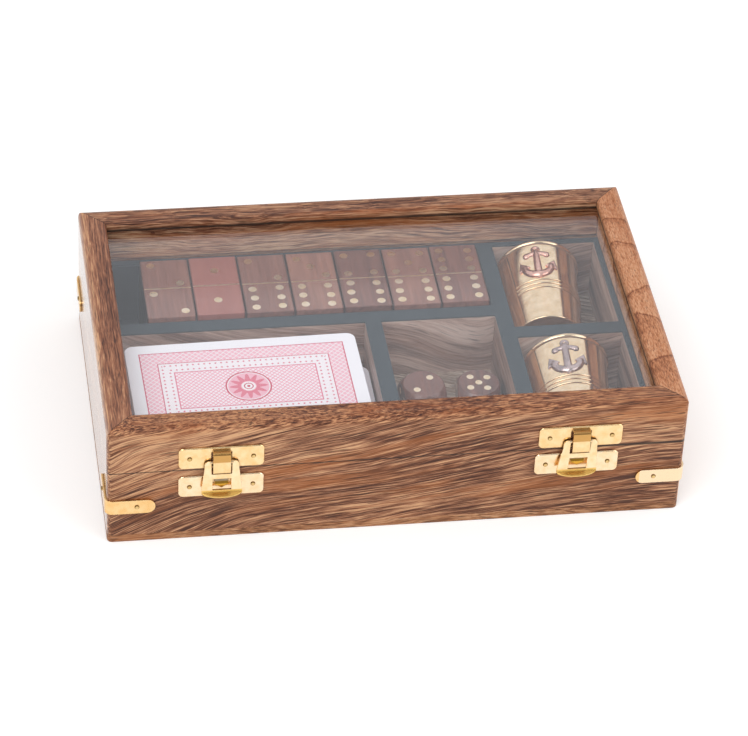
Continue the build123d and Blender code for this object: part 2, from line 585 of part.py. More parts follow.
def domino(upper, lower, seed):
    """Tile, pips and dividing bar, flat on Z = 0 with the dividing line along X."""
    top = TILE_THICKNESS
    tile = fillet(block(-TILE_WIDTH / 2, TILE_WIDTH / 2, -TILE_LENGTH / 2, TILE_LENGTH / 2,
                        0, top).edges(), TILE_ROUND)
    spots = [(a, -b) for a, b in pip_spots(lower)] + [(-a, b) for a, b in pip_spots(upper)]
    pips = []
    for number, (a, b) in enumerate(spots):
        a += PIP_WANDER * sin(7.1 * seed + 3.7 * number)
        b += PIP_WANDER * cos(5.3 * seed + 2.9 * number)
        pips.append(Pos(a, b, top) * Cylinder(
            PIP_RADIUS, PIP_DEPTH, align=(Align.CENTER, Align.CENTER, Align.MAX)))
    bar = Pos(0, 0, top) * Box(TILE_WIDTH - 2 * TILE_ROUND, BAR_WIDTH, BAR_DEPTH,
                               align=(Align.CENTER, Align.CENTER, Align.MAX))
    tile -= bar
    for pip in pips:
        tile -= pip
    return tile, pips, bar


top_row = [(int(rear), int(front)) for rear, front in TOP_ROW]
others = [(a, b) for a in range(7) for b in range(a, 7) if (a, b) not in top_row]
rows = [others[i * row_length:(i + 1) * row_length] for i in range(TILE_LAYERS - 1)] + [top_row]
last_tile_x = DOMINO_RIGHT - BAY_FELT - TILE_END_GAP - TILE_WIDTH / 2
tile_y = (DOMINO_FRONT + INNER_Y) / 2
all_pips = []
all_bars = []
for layer, row in enumerate(rows):
    tiles = []
    for column, (upper, lower) in enumerate(row):
        seed = layer * row_length + column
        spot = Pos(last_tile_x - (row_length - 1 - column) * TILE_PITCH,
                   tile_y + TILE_WANDER * sin(2.3 * seed + 1.0), FLOOR + layer * TILE_THICKNESS)
        tile, pips, bar = domino(upper, lower, seed)
        tiles.append(spot * tile)
        all_pips += [spot * pip for pip in pips]
        all_bars.append(spot * bar)
    nodes[f"domino_layer_{layer + 1}"] = joined(tiles)
nodes["domino_pips"] = joined(all_pips)
nodes["domino_bars"] = joined(all_bars)


# ================================================================ cards
card_x0, card_x1, card_y0, card_y1 = bays["card"]
CARD_LENGTH = card_x1 - card_x0 - CARD_END_SPACE
CARD_WIDTH = card_y1 - card_y0 - CARD_SIDE_SPACE
lower_centre = (card_x1 - DECK_RIGHT_GAP - CARD_LENGTH / 2, card_y0 + DECK_FRONT_GAP + CARD_WIDTH / 2)
upper_centre = (lower_centre[0] + UPPER_DECK_OFFSET[0], lower_centre[1] + UPPER_DECK_OFFSET[1])


def deck(centre, turn, z0):
    return Pos(*centre, z0) * Rot(0, 0, turn) * extrude(
        RectangleRounded(CARD_LENGTH, CARD_WIDTH, CARD_CORNER), DECK_THICKNESS)


nodes["lower_card_deck"] = deck(lower_centre, 0, FLOOR)
nodes["upper_card_deck"] = deck(upper_centre, UPPER_DECK_TURN, FLOOR + DECK_THICKNESS)


# ================================================================ dice
def die():
    """Cube with its corners turned off, and its 21 pips. Opposite faces add up to seven."""
    half = DIE_SIDE / 2
    body = Box(DIE_SIDE, DIE_SIDE, DIE_SIDE) & Sphere(DIE_SPHERE)
    s = DIE_PIP_SPREAD
    corners = [(-s, -s), (s, s), (-s, s), (s, -s)]
    spots = {1: [(0, 0)], 2: corners[:2], 3: corners[:2] + [(0, 0)], 4: corners,
             5: corners + [(0, 0)], 6: corners + [(-s, 0), (s, 0)]}
    faces = {1: Rot(0, 0, 0), 6: Rot(180, 0, 0), 2: Rot(-90, 0, 0), 5: Rot(90, 0, 0),
             3: Rot(0, 90, 0), 4: Rot(0, -90, 0)}
    pips = []
    for value, facing in faces.items():
        for a, b in spots[value]:
            pips.append(facing * Pos(a, b, half) * Cylinder(
                DIE_PIP_RADIUS, DIE_PIP_DEPTH, align=(Align.CENTER, Align.CENTER, Align.MAX)))
    for pip in pips:
        body -= pip
    return body, pips


die_body, die_pips = die()
dice_solids = []
dice_pip_solids = []
dice_x0, dice_x1, dice_y0, _ = bays["dice"]
for share, from_front, turn, (tip_x, tip_y) in DICE:
    x = dice_x0 + share * (dice_x1 - dice_x0)
    place = Pos(x, dice_y0 + from_front, FLOOR + DIE_SIDE / 2) * Rot(0, 0, turn) * Rot(tip_x, tip_y, 0)
    dice_solids.append(place * die_body)
    dice_pip_solids += [place * pip for pip in die_pips]
nodes["dice"] = joined(dice_solids)
nodes["dice_pips"] = joined(dice_pip_solids)


# ================================================================ cups
cup_x0, _, cup_y0, cup_y1 = bays["rear_cup"]
CUP_LENGTH = cup_y1 - cup_y0 - CUP_END_SPACE


def cup_radius(height):
    """Outer radius of the plain wall at a height above the foot."""
    return CUP_FOOT_RADIUS + (CUP_MOUTH_RADIUS - CUP_FOOT_RADIUS) * height / CUP_LENGTH


def cup():
    """Tapered cup standing on Z = 0, mouth up, with a rolled rim and three ridges."""
    wall = Polygon(
        (0, CUP_BASE_RECESS), (CUP_FOOT_RADIUS - CUP_WALL, CUP_BASE_RECESS),
        (CUP_FOOT_RADIUS - CUP_WALL, 0),
        (CUP_FOOT_RADIUS, 0), (CUP_MOUTH_RADIUS, CUP_LENGTH - RIM_ROLL),
        (CUP_MOUTH_RADIUS - CUP_WALL, CUP_LENGTH - RIM_ROLL),
        (cup_radius(CUP_BASE_RECESS + CUP_BASE) - CUP_WALL, CUP_BASE_RECESS + CUP_BASE),
        (0, CUP_BASE_RECESS + CUP_BASE), align=None)
    roll = Pos(CUP_RIM_RADIUS - RIM_ROLL, CUP_LENGTH - RIM_ROLL) * Circle(RIM_ROLL)
    section = wall + roll
    section += Pos(CUP_FOOT_RADIUS, FOOT_BEAD) * Circle(FOOT_BEAD)
    for share in RIDGE_SHARES:
        height = share * CUP_LENGTH
        section += Pos(cup_radius(height), height) * Circle(RIDGE_HEIGHT)
    return revolve(Plane.XZ * section, Axis.Z)


def anchor():
    """Raised anchor on the wall of an upright cup, on its -Y side."""
    h = ANCHOR_HEIGHT_SHARE * CUP_LENGTH
    w = ANCHOR_WIDTH
    arm = 0.13 * w
    shank = Rectangle(arm, 0.72 * h)
    stock = Pos(0, 0.26 * h) * Rectangle(0.62 * w, 0.8 * arm)
    knobs = Pos(-0.31 * w, 0.26 * h) * Circle(0.6 * arm) + Pos(0.31 * w, 0.26 * h) * Circle(0.6 * arm)
    ring = Pos(0, 0.41 * h) * (Circle(0.1 * h) - Circle(0.05 * h))
    outer = 0.44 * w
    crown_y = -0.06 * h
    crown = Pos(0, crown_y) * (Circle(outer) - Pos(0, 0.12 * w) * Circle(outer - 0.04 * w))
    crown &= Pos(0, crown_y - outer / 2 - 0.02 * h) * Rectangle(2 * w, outer + 0.1 * h)
    point = Pos(0, crown_y - outer) * Polygon(
        (-0.1 * w, 0.05 * w), (0, -0.12 * w), (0.1 * w, 0.05 * w), align=None)
    fluke_low = crown_y + 0.02 * h
    fluke_tip = crown_y + 0.16 * h
    right_fluke = Polygon(
        (0.3 * w, fluke_low), (0.52 * w, fluke_low), (0.46 * w, fluke_tip), align=None)
    left_fluke = Polygon(
        (-0.52 * w, fluke_low), (-0.3 * w, fluke_low), (-0.46 * w, fluke_tip), align=None)
    emblem = shank + stock + knobs + ring + crown + point + right_fluke + left_fluke
    face_on = Plane(origin=(0, 0, ANCHOR_SHARE * CUP_LENGTH), x_dir=(1, 0, 0), z_dir=(0, -1, 0))
    block_of_emblem = extrude(face_on * emblem, CUP_RIM_RADIUS)
    shell = Polygon(
        (CUP_FOOT_RADIUS, 0), (CUP_FOOT_RADIUS + ANCHOR_RELIEF, 0),
        (CUP_MOUTH_RADIUS + ANCHOR_RELIEF, CUP_LENGTH - RIM_ROLL),
        (CUP_MOUTH_RADIUS, CUP_LENGTH - RIM_ROLL), align=None)
    return block_of_emblem & revolve(Plane.XZ * shell, Axis.Z)


def resting_lean():
    """Angle at which the rolled rim and the foot bead touch one plane."""
    along = CUP_LENGTH - RIM_ROLL - FOOT_BEAD
    across = CUP_RIM_RADIUS - RIM_ROLL - CUP_FOOT_RADIUS
    return atan2(across, along) + asin((RIM_ROLL - FOOT_BEAD) / hypot(along, across))


def lying(foot_x, foot_y):
    """Place that lays an upright cup on its side, mouth to the rear, foot and rim on the floor."""
    lean = resting_lean()
    drop = CUP_FOOT_RADIUS * cos(lean) - FOOT_BEAD * sin(lean) + FOOT_BEAD
    return Pos(foot_x, foot_y, FLOOR + drop) * Rot(0, 0, -CUP_YAW) * Rot(degrees(lean) - 90, 0, 0)


cup_body = cup()
cup_anchor = Rot(0, 0, -ANCHOR_ROLL) * anchor()
for name, from_divider, from_front in CUP_FOOTS:
    place = lying(cup_x0 + from_divider, bays[f"{name}_cup"][2] + from_front)
    nodes[f"{name}_cup"] = place * cup_body
    nodes[f"{name}_cup_anchor"] = place * cup_anchor

# ================================================================ write
whole = Compound(children=[solid for node in nodes.values() for solid in node.solids()]).bounding_box()
shift_y = -(whole.min.Y + whole.max.Y) / 2
os.makedirs("parts", exist_ok=True)
for name, shape in nodes.items():
    export_step(joined([Pos(0, shift_y, 0) * shape]), f"parts/{name}.step")
print("nodes", len(nodes), "shift_y", round(shift_y, 4))
print("hinge axis y, z", round(HINGE_AXIS_Y + shift_y, 4), SEAM_HEIGHT)
for name, (x, z) in hasp_pivots.items():
    print(name, "hasp pivot", round(x, 3), round(PIVOT_Y + shift_y, 4), round(z, 3))
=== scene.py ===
# %% [markdown]
# # A glazed games box
# The wooden case, its brass fittings, the glass and everything in the tray come from the packed
# CAD model. This notebook gives each of them its finish, and builds the few pieces whose real
# form is finer than a plain solid: the decks of single cards and the cast anchors. All lengths in
# Blender are metres, and the patterns are worked out in millimetres.

import math

import bmesh
import bpy
from mathutils import Matrix, Vector


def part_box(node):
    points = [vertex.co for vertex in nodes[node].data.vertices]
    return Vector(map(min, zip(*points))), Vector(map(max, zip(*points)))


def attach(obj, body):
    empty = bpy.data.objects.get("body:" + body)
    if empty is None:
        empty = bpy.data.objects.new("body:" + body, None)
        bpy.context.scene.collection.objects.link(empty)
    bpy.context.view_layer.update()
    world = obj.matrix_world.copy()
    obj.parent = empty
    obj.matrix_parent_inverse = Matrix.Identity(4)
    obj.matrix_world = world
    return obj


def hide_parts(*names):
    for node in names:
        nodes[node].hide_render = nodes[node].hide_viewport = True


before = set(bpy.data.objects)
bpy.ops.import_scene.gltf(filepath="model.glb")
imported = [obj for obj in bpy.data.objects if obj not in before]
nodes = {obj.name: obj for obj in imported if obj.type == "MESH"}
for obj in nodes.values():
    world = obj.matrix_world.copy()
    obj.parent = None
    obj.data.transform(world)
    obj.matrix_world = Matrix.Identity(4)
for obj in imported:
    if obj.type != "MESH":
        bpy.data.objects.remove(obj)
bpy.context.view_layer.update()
MM = 0.001


# %% [markdown]
# A few helpers carry the whole notebook. Colours are written as the sRGB hex values that a paint
# program shows, while shaders work in linear light, so one function converts them. Node trees
# are long lists of small steps, so one function adds a node, sets it and links it. A value can be
# a number, another node (its first output is used) or one particular output. Sockets that a node's
# settings leave unused are passed over: a Mix node for colours takes its share, then two colours.

# %% Colour and node helpers
def colour(hex_value):
    """Linear RGBA of an sRGB hex colour."""
    channels = [int(hex_value[i:i + 2], 16) / 255 for i in (1, 3, 5)]
    return (*[c / 12.92 if c <= 0.04045 else ((c + 0.055) / 1.055) ** 2.4 for c in channels], 1.0)


def add(tree, kind, *values, named=None, stops=(), between="LINEAR", **settings):
    """Adds a node. values fill its inputs in order, named fills them by name, settings are its own.
    stops are a colour ramp's: a position each, with a hex colour or a grey number."""
    made = tree.nodes.new(kind)
    for key, value in settings.items():
        setattr(made, key, value)
    in_use = [socket for socket in made.inputs if socket.enabled]
    by_name = [(made.inputs[key], value) for key, value in (named or {}).items()]
    for socket, value in [*zip(in_use, values), *by_name]:
        if isinstance(value, bpy.types.Node):
            value = next(output for output in value.outputs if output.enabled)
        if isinstance(value, bpy.types.NodeSocket):
            tree.links.new(value, socket)
        else:
            socket.default_value = value
    if stops:
        made.color_ramp.interpolation = between
        elements = made.color_ramp.elements
        while len(elements) < len(stops):
            elements.new(0.5)
        for element, (position, value) in zip(elements, stops):
            element.position = position
            element.color = colour(value) if isinstance(value, str) else (value, value, value, 1)
    return made


def place_in_mm(tree):
    """The place on the piece in millimetres, from which the patterns are worked out."""
    place = add(tree, "ShaderNodeTexCoord").outputs["Object"]
    return add(tree, "ShaderNodeVectorMath", place, 1 / MM, operation="SCALE")


def material(name):
    """An empty node material and its tree."""
    made = bpy.data.materials.new(name)
    made.use_nodes = True
    made.node_tree.nodes.clear()
    return made, made.node_tree


def finish_with(made, *names):
    """Gives a material to whole CAD nodes."""
    for name in names:
        slots = nodes[name].data.materials
        slots.clear()
        slots.append(made)


def in_scene(name, data):
    """A new object in the scene that shows a mesh, a lamp or a camera."""
    made = bpy.data.objects.new(name, data)
    bpy.context.scene.collection.objects.link(made)
    return made


def plain_mesh(maker):
    """The mesh that an object's modifiers make of it. The object itself goes."""
    graph = bpy.context.evaluated_depsgraph_get()
    mesh = bpy.data.meshes.new_from_object(maker.evaluated_get(graph))
    bpy.data.objects.remove(maker)
    return mesh


# %% [markdown]
# ## Oiled sheesham boards
# Sheesham (Indian rosewood) is brown, with tan and orange bands, dark growth lines that wander, and
# open pores like short pencil strokes. It was planed, sanded and oiled, so it has a soft sheen.
# An image would stop at every edge, so a solid texture is used: the colour is worked out from the
# place inside the board, and the grain runs round each edge as it does on sawn wood.
#
# The place is turned until the grain lies along X. Then the lines are bent: a slope and a curve
# for the whole board, and a few swirls where the trunk had a knot. A swirl is a bell-shaped hill,
# and the lines run round it. Noise that is drawn out along the grain becomes streaks. Their sizes
# are added up: bands 8 mm wide, growth lines 1.3 mm, and fibres and pores about half a millimetre,
# which is as fine as a render of this size shows.

# %% Grain: a place in the board, bent as its growth lines bend
def bell(tree, place, x, z, reach_x, reach_z):
    """A soft hill round x and z: 1 in its middle and about a third at its reach."""
    offset = add(tree, "ShaderNodeVectorMath", place, (x, 0, z), operation="SUBTRACT")
    offset = add(tree, "ShaderNodeVectorMath", offset, (1 / reach_x, 0, 1 / reach_z),
                 operation="MULTIPLY")
    squared = add(tree, "ShaderNodeVectorMath", offset, offset, operation="DOT_PRODUCT")
    power = add(tree, "ShaderNodeMath", squared, -1.0, operation="MULTIPLY")
    return add(tree, "ShaderNodeMath", math.e, power, operation="POWER")


def grain_of(tree, mm, turn, seed, rise, curve, swirls, wave):
    """The place mm, bent as the lines bend. rise is a slope, and curve bends it per metre. swirls
    are a hill and a height each. wave is how far the lines wander, and seed sets boards apart."""
    turned = add(tree, "ShaderNodeVectorRotate", mm, rotation_type="EULER_XYZ",
                 named={"Rotation": (0, 0, math.radians(turn))})
    along, across, deep = add(tree, "ShaderNodeSeparateXYZ", turned).outputs
    bend = add(tree, "ShaderNodeMath", along, -curve / 1000, -rise, operation="MULTIPLY_ADD")
    lifted = add(tree, "ShaderNodeMath", along, bend, deep, operation="MULTIPLY_ADD")
    for *hill, height in swirls:
        lifted = add(tree, "ShaderNodeMath", bell(tree, turned, *hill), -height, lifted,
                     operation="MULTIPLY_ADD")
    bent = add(tree, "ShaderNodeCombineXYZ", along, across, lifted)
    bent = add(tree, "ShaderNodeVectorMath", bent, (seed * 371.3, seed * 97.1, seed * 53.9))
    drift = add(tree, "ShaderNodeVectorMath", bent, (1 / 60, 1 / 30, 1 / 24), operation="MULTIPLY")
    drift = add(tree, "ShaderNodeTexNoise", drift, named={"Scale": 1.0, "Detail": 3.0})
    drift = add(tree, "ShaderNodeVectorMath", drift.outputs["Color"], (0.5, 0.5, 0.5),
                operation="SUBTRACT")
    drift = add(tree, "ShaderNodeVectorMath", drift, (0.0, wave * 0.7, wave * 2),
                operation="MULTIPLY")
    return add(tree, "ShaderNodeVectorMath", bent, drift)


def streaks(tree, grain, long, wide, detail, rough=0.55):
    """Noise drawn out along the grain, long by wide millimetres and about 0.5 on average."""
    squeezed = add(tree, "ShaderNodeVectorMath", grain, (1 / long, 1 / wide, 1 / wide),
                   operation="MULTIPLY")
    return add(tree, "ShaderNodeTexNoise", squeezed,
               named={"Scale": 1.0, "Detail": detail, "Roughness": rough})


# %% [markdown]
# The round top of the lid is painted a little darker and redder than the sides: painted shade
# against the stronger light that falls on the top.

# %% Painted shade on the top of the lid
LID_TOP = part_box("lid_front_rail")[1].z / MM
# painted shade on the lid's top
LID_TOP_SHADE = "#e9d8cb"  # multiplies the colour of the wood


def shaded_lid_top(tree, mm, paint):
    """Paints shade over the top three millimetres of the case, darker and redder."""
    height = add(tree, "ShaderNodeSeparateXYZ", mm).outputs[2]
    top = add(tree, "ShaderNodeMapRange", height, LID_TOP - 3.0, LID_TOP - 0.5)
    return add(tree, "ShaderNodeMix", top, paint, colour(LID_TOP_SHADE), data_type="RGBA",
               blend_type="MULTIPLY")


# %% [markdown]
# Where two boards meet at a mitre, and where the lid meets the case, dirt and oil leave a hair-thin
# dark line. Along the groove that the glass sits in, a dark line of painted shadow is laid on the
# inner faces. All are planes, so the distance to them is simple arithmetic on the place.

# %% Lines at the joints, and painted shadow at the glass groove
CASE_HALF_LENGTH, CASE_HALF_DEPTH = 106.0, 68.0  # mm
CASE_Y = 0.8542  # mm, middle of the wooden case along Y
SEAM = 32.3  # mm, where lid and case meet
GLASS_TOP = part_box("glass_pane")[1].z / MM
RAIL_WIDTH = 10.2  # mm, width of the lid's rails above the glass
# the dirt in the joints, and the painted shadow in the glass groove
DIRT_AND_GROOVE_SHADOW = "#180d07"


def distance(tree, along, plane):
    """How far a coordinate is from a plane."""
    gap = add(tree, "ShaderNodeMath", along, plane, operation="SUBTRACT")
    return add(tree, "ShaderNodeMath", gap, operation="ABSOLUTE")


def joint_lines_and_groove_shadow(tree, mm, paint):
    """Darkens paint near the four mitre planes and at the seam, and paints the shadow of the glass
    groove.
    """
    x, y, z = add(tree, "ShaderNodeSeparateXYZ", mm).outputs
    side = add(tree, "ShaderNodeMath", x, operation="ABSOLUTE")
    depth = distance(tree, y, CASE_Y)
    # along a mitre both walls are equally far from the outside
    mitre = add(tree, "ShaderNodeMath", side, depth, operation="SUBTRACT")
    mitre = distance(tree, mitre, CASE_HALF_LENGTH - CASE_HALF_DEPTH)
    from_end = add(tree, "ShaderNodeMath", CASE_HALF_LENGTH, side, operation="SUBTRACT")
    from_front = add(tree, "ShaderNodeMath", CASE_HALF_DEPTH, depth, operation="SUBTRACT")
    inset = add(tree, "ShaderNodeMath", from_end, from_front, operation="MINIMUM")
    # a mitre's line fades at the corner, where handling has rounded it
    at_corner = add(tree, "ShaderNodeMapRange", inset, 0.6, 2.0, 1.0, 0.1)
    mitre = add(tree, "ShaderNodeMath", mitre, at_corner, operation="ADD")
    # the seam is tight as far as the second latch and opens a little beyond it
    tight = add(tree, "ShaderNodeMapRange", x, 40.0, 85.0, 1.2, 0.45)
    seam = add(tree, "ShaderNodeMath", distance(tree, z, SEAM), tight, operation="MULTIPLY")
    # the faces that meet at the seam stay plain wood, as an open lid shows
    lying = add(tree, "ShaderNodeTexCoord").outputs["Normal"]
    lying = add(tree, "ShaderNodeSeparateXYZ", lying).outputs[2]
    lying = add(tree, "ShaderNodeMath", lying, operation="ABSOLUTE")
    seam = add(tree, "ShaderNodeMath", lying, 2.0, seam, operation="MULTIPLY_ADD")
    near = add(tree, "ShaderNodeMath", mitre, seam, operation="MINIMUM")
    # painted shadow of the groove: it shows only on the inner faces, a rail's width in from the
    # outside
    groove = distance(tree, z, GLASS_TOP + 0.4)
    outside = add(tree, "ShaderNodeMath", inset, RAIL_WIDTH - 0.3, operation="LESS_THAN")
    groove = add(tree, "ShaderNodeMath", outside, 9.0, groove, operation="MULTIPLY_ADD")
    groove = add(tree, "ShaderNodeMath", groove, 0.3, operation="MULTIPLY")
    near = add(tree, "ShaderNodeMath", near, groove, operation="MINIMUM")
    line = add(tree, "ShaderNodeValToRGB", near, stops=((0.1, 0.9), (0.4, 0.0)), between="EASE")
    return add(tree, "ShaderNodeMix", line, paint, colour(DIRT_AND_GROOVE_SHADOW), data_type="RGBA")


# %% [markdown]
# A board that was sawn across the growth rings, as the right one was, shows them as arcs. Early
# wood is pale and turns darker through the year, until the next ring starts with a jump.

# %% Growth rings
RING_WIDTH = 24  # mm


def ring_arcs(tree, mm):
    """Rings across the board, bowed by slow noise. The tone sinks slowly, then jumps back."""
    bow = add(tree, "ShaderNodeTexNoise", mm, named={"Scale": 0.05, "Detail": 2.0})
    bow = add(tree, "ShaderNodeMath", bow, 1.9, operation="MULTIPLY")
    down_board = add(tree, "ShaderNodeSeparateXYZ", mm).outputs[1]
    arcs = add(tree, "ShaderNodeMath", down_board, 1 / RING_WIDTH, bow, operation="MULTIPLY_ADD")
    arcs = add(tree, "ShaderNodeMath", arcs, operation="FRACT")
    return add(tree, "ShaderNodeValToRGB", arcs, stops=(
        (0.0, 0.0), (0.03, 0.5), (0.08, 1.0), (0.72, 0.9), (0.97, 0.55), (1.0, 0.0)))


# %% [markdown]
# All parts of the grain are added up to one tone, and a colour ramp turns it into the wood's own
# browns. Orange streaks and dark pores are laid over that, then the painted shade on the lid's top,
# the lines at the joints and the painted shadow in the glass groove.

# %% Wood finish
AMBER, PORE = "#a8622f", "#2e180e"
TONE_PLACES = (0.1, 0.34, 0.5, 0.66, 0.9)  # where the five tones lie in the summed noise


def sheesham(name, turn, seed, tones, rise=0.0, curve=0.0, swirls=(), wave=6.0, draw=1.0,
             parts=(1.2, 1.2, 2.6), rings=0.0, patches=(), pits=0.0, amber_share=0.35,
             pore_share=0.75, joints=True, roughness=0.45, coat=0.1, end_coat=None):
    """Oiled wood whose grain is turned by degrees about Z. tones run from the darkest line to the
    lightest band. parts weigh bands, lines and fibres, and draw is how far these run: 1 for a board
    sawn with the grain, less across it. patches are a hill in x and z and a change of tone each."""
    made, tree = material(name)
    mm = place_in_mm(tree)
    grain = grain_of(tree, mm, turn, seed, rise, curve, swirls, wave)
    bands = streaks(tree, grain, 170, 8, 3.0)
    lines = streaks(tree, grain, 60 * draw, 1.3, 4.0, 0.65)
    fibres = streaks(tree, grain, 15 * draw, 0.5, 3.0, 0.65)
    tone = 0.5 - sum(parts) / 2 - 0.85 * rings
    for layer, weight in zip((fibres, lines, bands), reversed(parts)):
        tone = add(tree, "ShaderNodeMath", layer, weight, tone, operation="MULTIPLY_ADD")
    if rings:
        tone = add(tree, "ShaderNodeMath", ring_arcs(tree, mm), rings, tone,
                   operation="MULTIPLY_ADD")
    for *hill, change in patches:
        tone = add(tree, "ShaderNodeMath", bell(tree, mm, *hill), change, tone,
                   operation="MULTIPLY_ADD")
    if pits:
        # small knots and dents, a few to a board
        pit = add(tree, "ShaderNodeTexVoronoi", mm, named={"Scale": 0.075})
        pit = add(tree, "ShaderNodeValToRGB", pit, stops=((0.03, pits), (0.09, 0.0)))
        tone = add(tree, "ShaderNodeMath", tone, pit, operation="SUBTRACT")
    paint = add(tree, "ShaderNodeValToRGB", tone, stops=[*zip(TONE_PLACES, tones)])
    glow = add(tree, "ShaderNodeVectorMath", grain, (77.0, 31.0, 13.0))
    glow = streaks(tree, glow, 90, 7, 3.0)
    glow = add(tree, "ShaderNodeValToRGB", glow, stops=((0.52, 0.0), (0.7, amber_share)))
    paint = add(tree, "ShaderNodeMix", glow, paint, colour(AMBER), data_type="RGBA")
    pores = streaks(tree, grain, 14 * draw, 0.42, 1.0)
    pores = add(tree, "ShaderNodeValToRGB", pores, stops=((0.31, pore_share), (0.4, 0.0)))
    paint = add(tree, "ShaderNodeMix", pores, paint, colour(PORE), data_type="RGBA")
    # joint lines, painted shade on the lid's top and painted shadow in the glass groove
    if joints:
        paint = joint_lines_and_groove_shadow(tree, mm, shaded_lid_top(tree, mm, paint))
    bump = add(tree, "ShaderNodeBump", named={"Strength": 0.3, "Distance": 0.0002, "Height": tone})
    rough = add(tree, "ShaderNodeValToRGB", lines, stops=(
        (0.3, roughness + 0.14), (0.7, roughness)))
    if end_coat:
        # the end of the case was buffed harder than its top
        facing = add(tree, "ShaderNodeTexCoord").outputs["Normal"]
        facing = add(tree, "ShaderNodeSeparateXYZ", facing).outputs[0]
        coat = add(tree, "ShaderNodeMapRange", facing, -0.6, -0.97, coat, end_coat)
    surface = add(tree, "ShaderNodeBsdfPrincipled", named={
        "Base Color": paint, "Roughness": rough, "IOR": 1.5, "Specular IOR Level": 0.35,
        "Normal": bump, "Coat Weight": coat, "Coat Roughness": 0.12})
    add(tree, "ShaderNodeOutputMaterial", surface)
    return made


# %% [markdown]
# Each board was cut from another part of a trunk, so each gets tones and bends of its own. Patches
# make parts of a board lighter or darker.
# A wall and the rail above it share a finish, as on a closed box whose lid is sawn off last.

# %% Boards of the case and lid
front_wood = sheesham(
    "oiled sheesham, front board", 0, 1, ("#45200e", "#74452a", "#926144", "#ad7b59", "#d2a177"),
    rise=0.2, curve=-0.75, wave=3.2, parts=(0.8, 1.0, 2.9), amber_share=0.6,
    swirls=((-66, 14, 36, 16, 6), (-98, 44, 18, 9, 4), (18, 24, 40, 12, -3)),
    patches=((-80, 41, 32, 8, 0.22), (0, 42, 45, 8, -0.04), (84, 40, 28, 9, 0.32),
             (-80, 9, 45, 10, -0.13), (5, 16, 55, 12, -0.05), (84, 14, 34, 12, -0.2),
             (-70, 49.5, 30, 3, 0.25)))
rear_wood = sheesham(
    "oiled sheesham, rear board", 0, 2, ("#482615", "#744a33", "#90654b", "#a87c60", "#c8a282"),
    rise=-0.03, draw=0.8, amber_share=0.7, pits=0.5,
    patches=((-70, 51, 40, 6, -0.16), (60, 51, 40, 6, 0.16), (0, 39, 140, 6, 0.24),
             (-20, 49.6, 110, 0.8, 0.2)))
left_wood = sheesham(
    "oiled sheesham, left board", 90, 3, ("#502c18", "#82543c", "#9c6c4f", "#b18265", "#e0b68e"),
    wave=3.0, draw=0.6, parts=(1.4, 0.9, 1.7), pore_share=0.6, roughness=0.35, coat=0.12,
    end_coat=1.0)
right_wood = sheesham(
    "oiled sheesham, right board", 90, 4, ("#854e30", "#b0774f", "#c68c65", "#d09a74", "#e0b390"),
    wave=4.0, draw=0.14, parts=(0.9, 0.6, 2.0), rings=0.75, amber_share=0.4, pore_share=0.5)
for side, wood in (("front", front_wood), ("rear", rear_wood), ("left", left_wood),
                   ("right", right_wood)):
    finish_with(wood, f"base_{side}_wall", f"lid_{side}_rail")
bottom_wood = sheesham(
    "oiled mango wood bottom", 4, 5, ("#5c341c", "#7f4f2f", "#96633f", "#a8754e", "#bf8f69"),
    joints=False)
finish_with(bottom_wood, "base_bottom")

# %% Boards of the tray
TRAY_TONES = ("#5c4038", "#8b6c5e", "#a98a7c", "#c1a396", "#dbc3b7")
tray_wood = sheesham(
    "oiled sheesham tray boards", 0, 6, TRAY_TONES, rise=-0.12, curve=2.0, wave=5.0,
    parts=(1.8, 0.6, 1.0), amber_share=0.2, pore_share=0.5, joints=False,
    swirls=((46, 10, 24, 20, -14),), patches=((40, 20, 19, 14, 0.2),))
tray_wood_across = sheesham(
    "oiled sheesham tray boards across", 90, 7, TRAY_TONES, wave=3.0, parts=(1.6, 0.6, 1.0),
    amber_share=0.2, pore_share=0.5, joints=False)
finish_with(tray_wood, "tray_front_lining", "tray_rear_lining", "domino_divider", "cup_divider")
finish_with(tray_wood_across, "tray_left_lining", "tray_right_lining", "main_divider",
            "card_divider")
print("wood finishes", [m.name for m in bpy.data.materials if m.name.startswith("oiled")])

# %% [markdown]
# ## Clear glass
# Window glass bends light and mirrors a little of what is above it. Rays that only carry light to
# the tray pass straight through, because tracing bent light patterns would take far too long.

# %% Glass pane
glass, tree = material("clear float glass")
bent = add(tree, "ShaderNodeBsdfGlass", named={
    "Color": (0.985, 0.99, 0.99, 1), "Roughness": 0.0, "IOR": 1.52})
straight = add(tree, "ShaderNodeBsdfTransparent", (0.95, 0.955, 0.955, 1))
rays = add(tree, "ShaderNodeLightPath").outputs
carries_light = add(tree, "ShaderNodeMath", rays["Is Shadow Ray"], rays["Is Diffuse Ray"],
                    operation="MAXIMUM")
surface = add(tree, "ShaderNodeMixShader", carries_light, bent, straight)
add(tree, "ShaderNodeOutputMaterial", surface)
finish_with(glass, "glass_pane")
print("glass up to", GLASS_TOP)

# %% [markdown]
# ## Brass, copper and nickel
# The fittings are stamped from brass sheet and polished by tumbling, so they are bright, with soft
# scratches. A metal's colour is the colour of its mirror image, so a white room shows the hex value
# itself, and the dark parts on a fitting are darker parts of the room. Some shade is painted in as
# well: nail heads get a painted dark rim on their sides, and the corners of the fittings are
# painted a darker gold, shade and tarnish together.
#
# The cups were spun on a lathe, which leaves fine rings round the wall. Toward the mouth the wall
# flares more and more, which turns its mirror image upward.

# %% Lathe marks and flare of a cup
FRONT_FOOT, NEXT_FOOT = -49.5, 59.6  # mm along Y: the front cup's foot, and from it to the other
FLARE = 0.0022


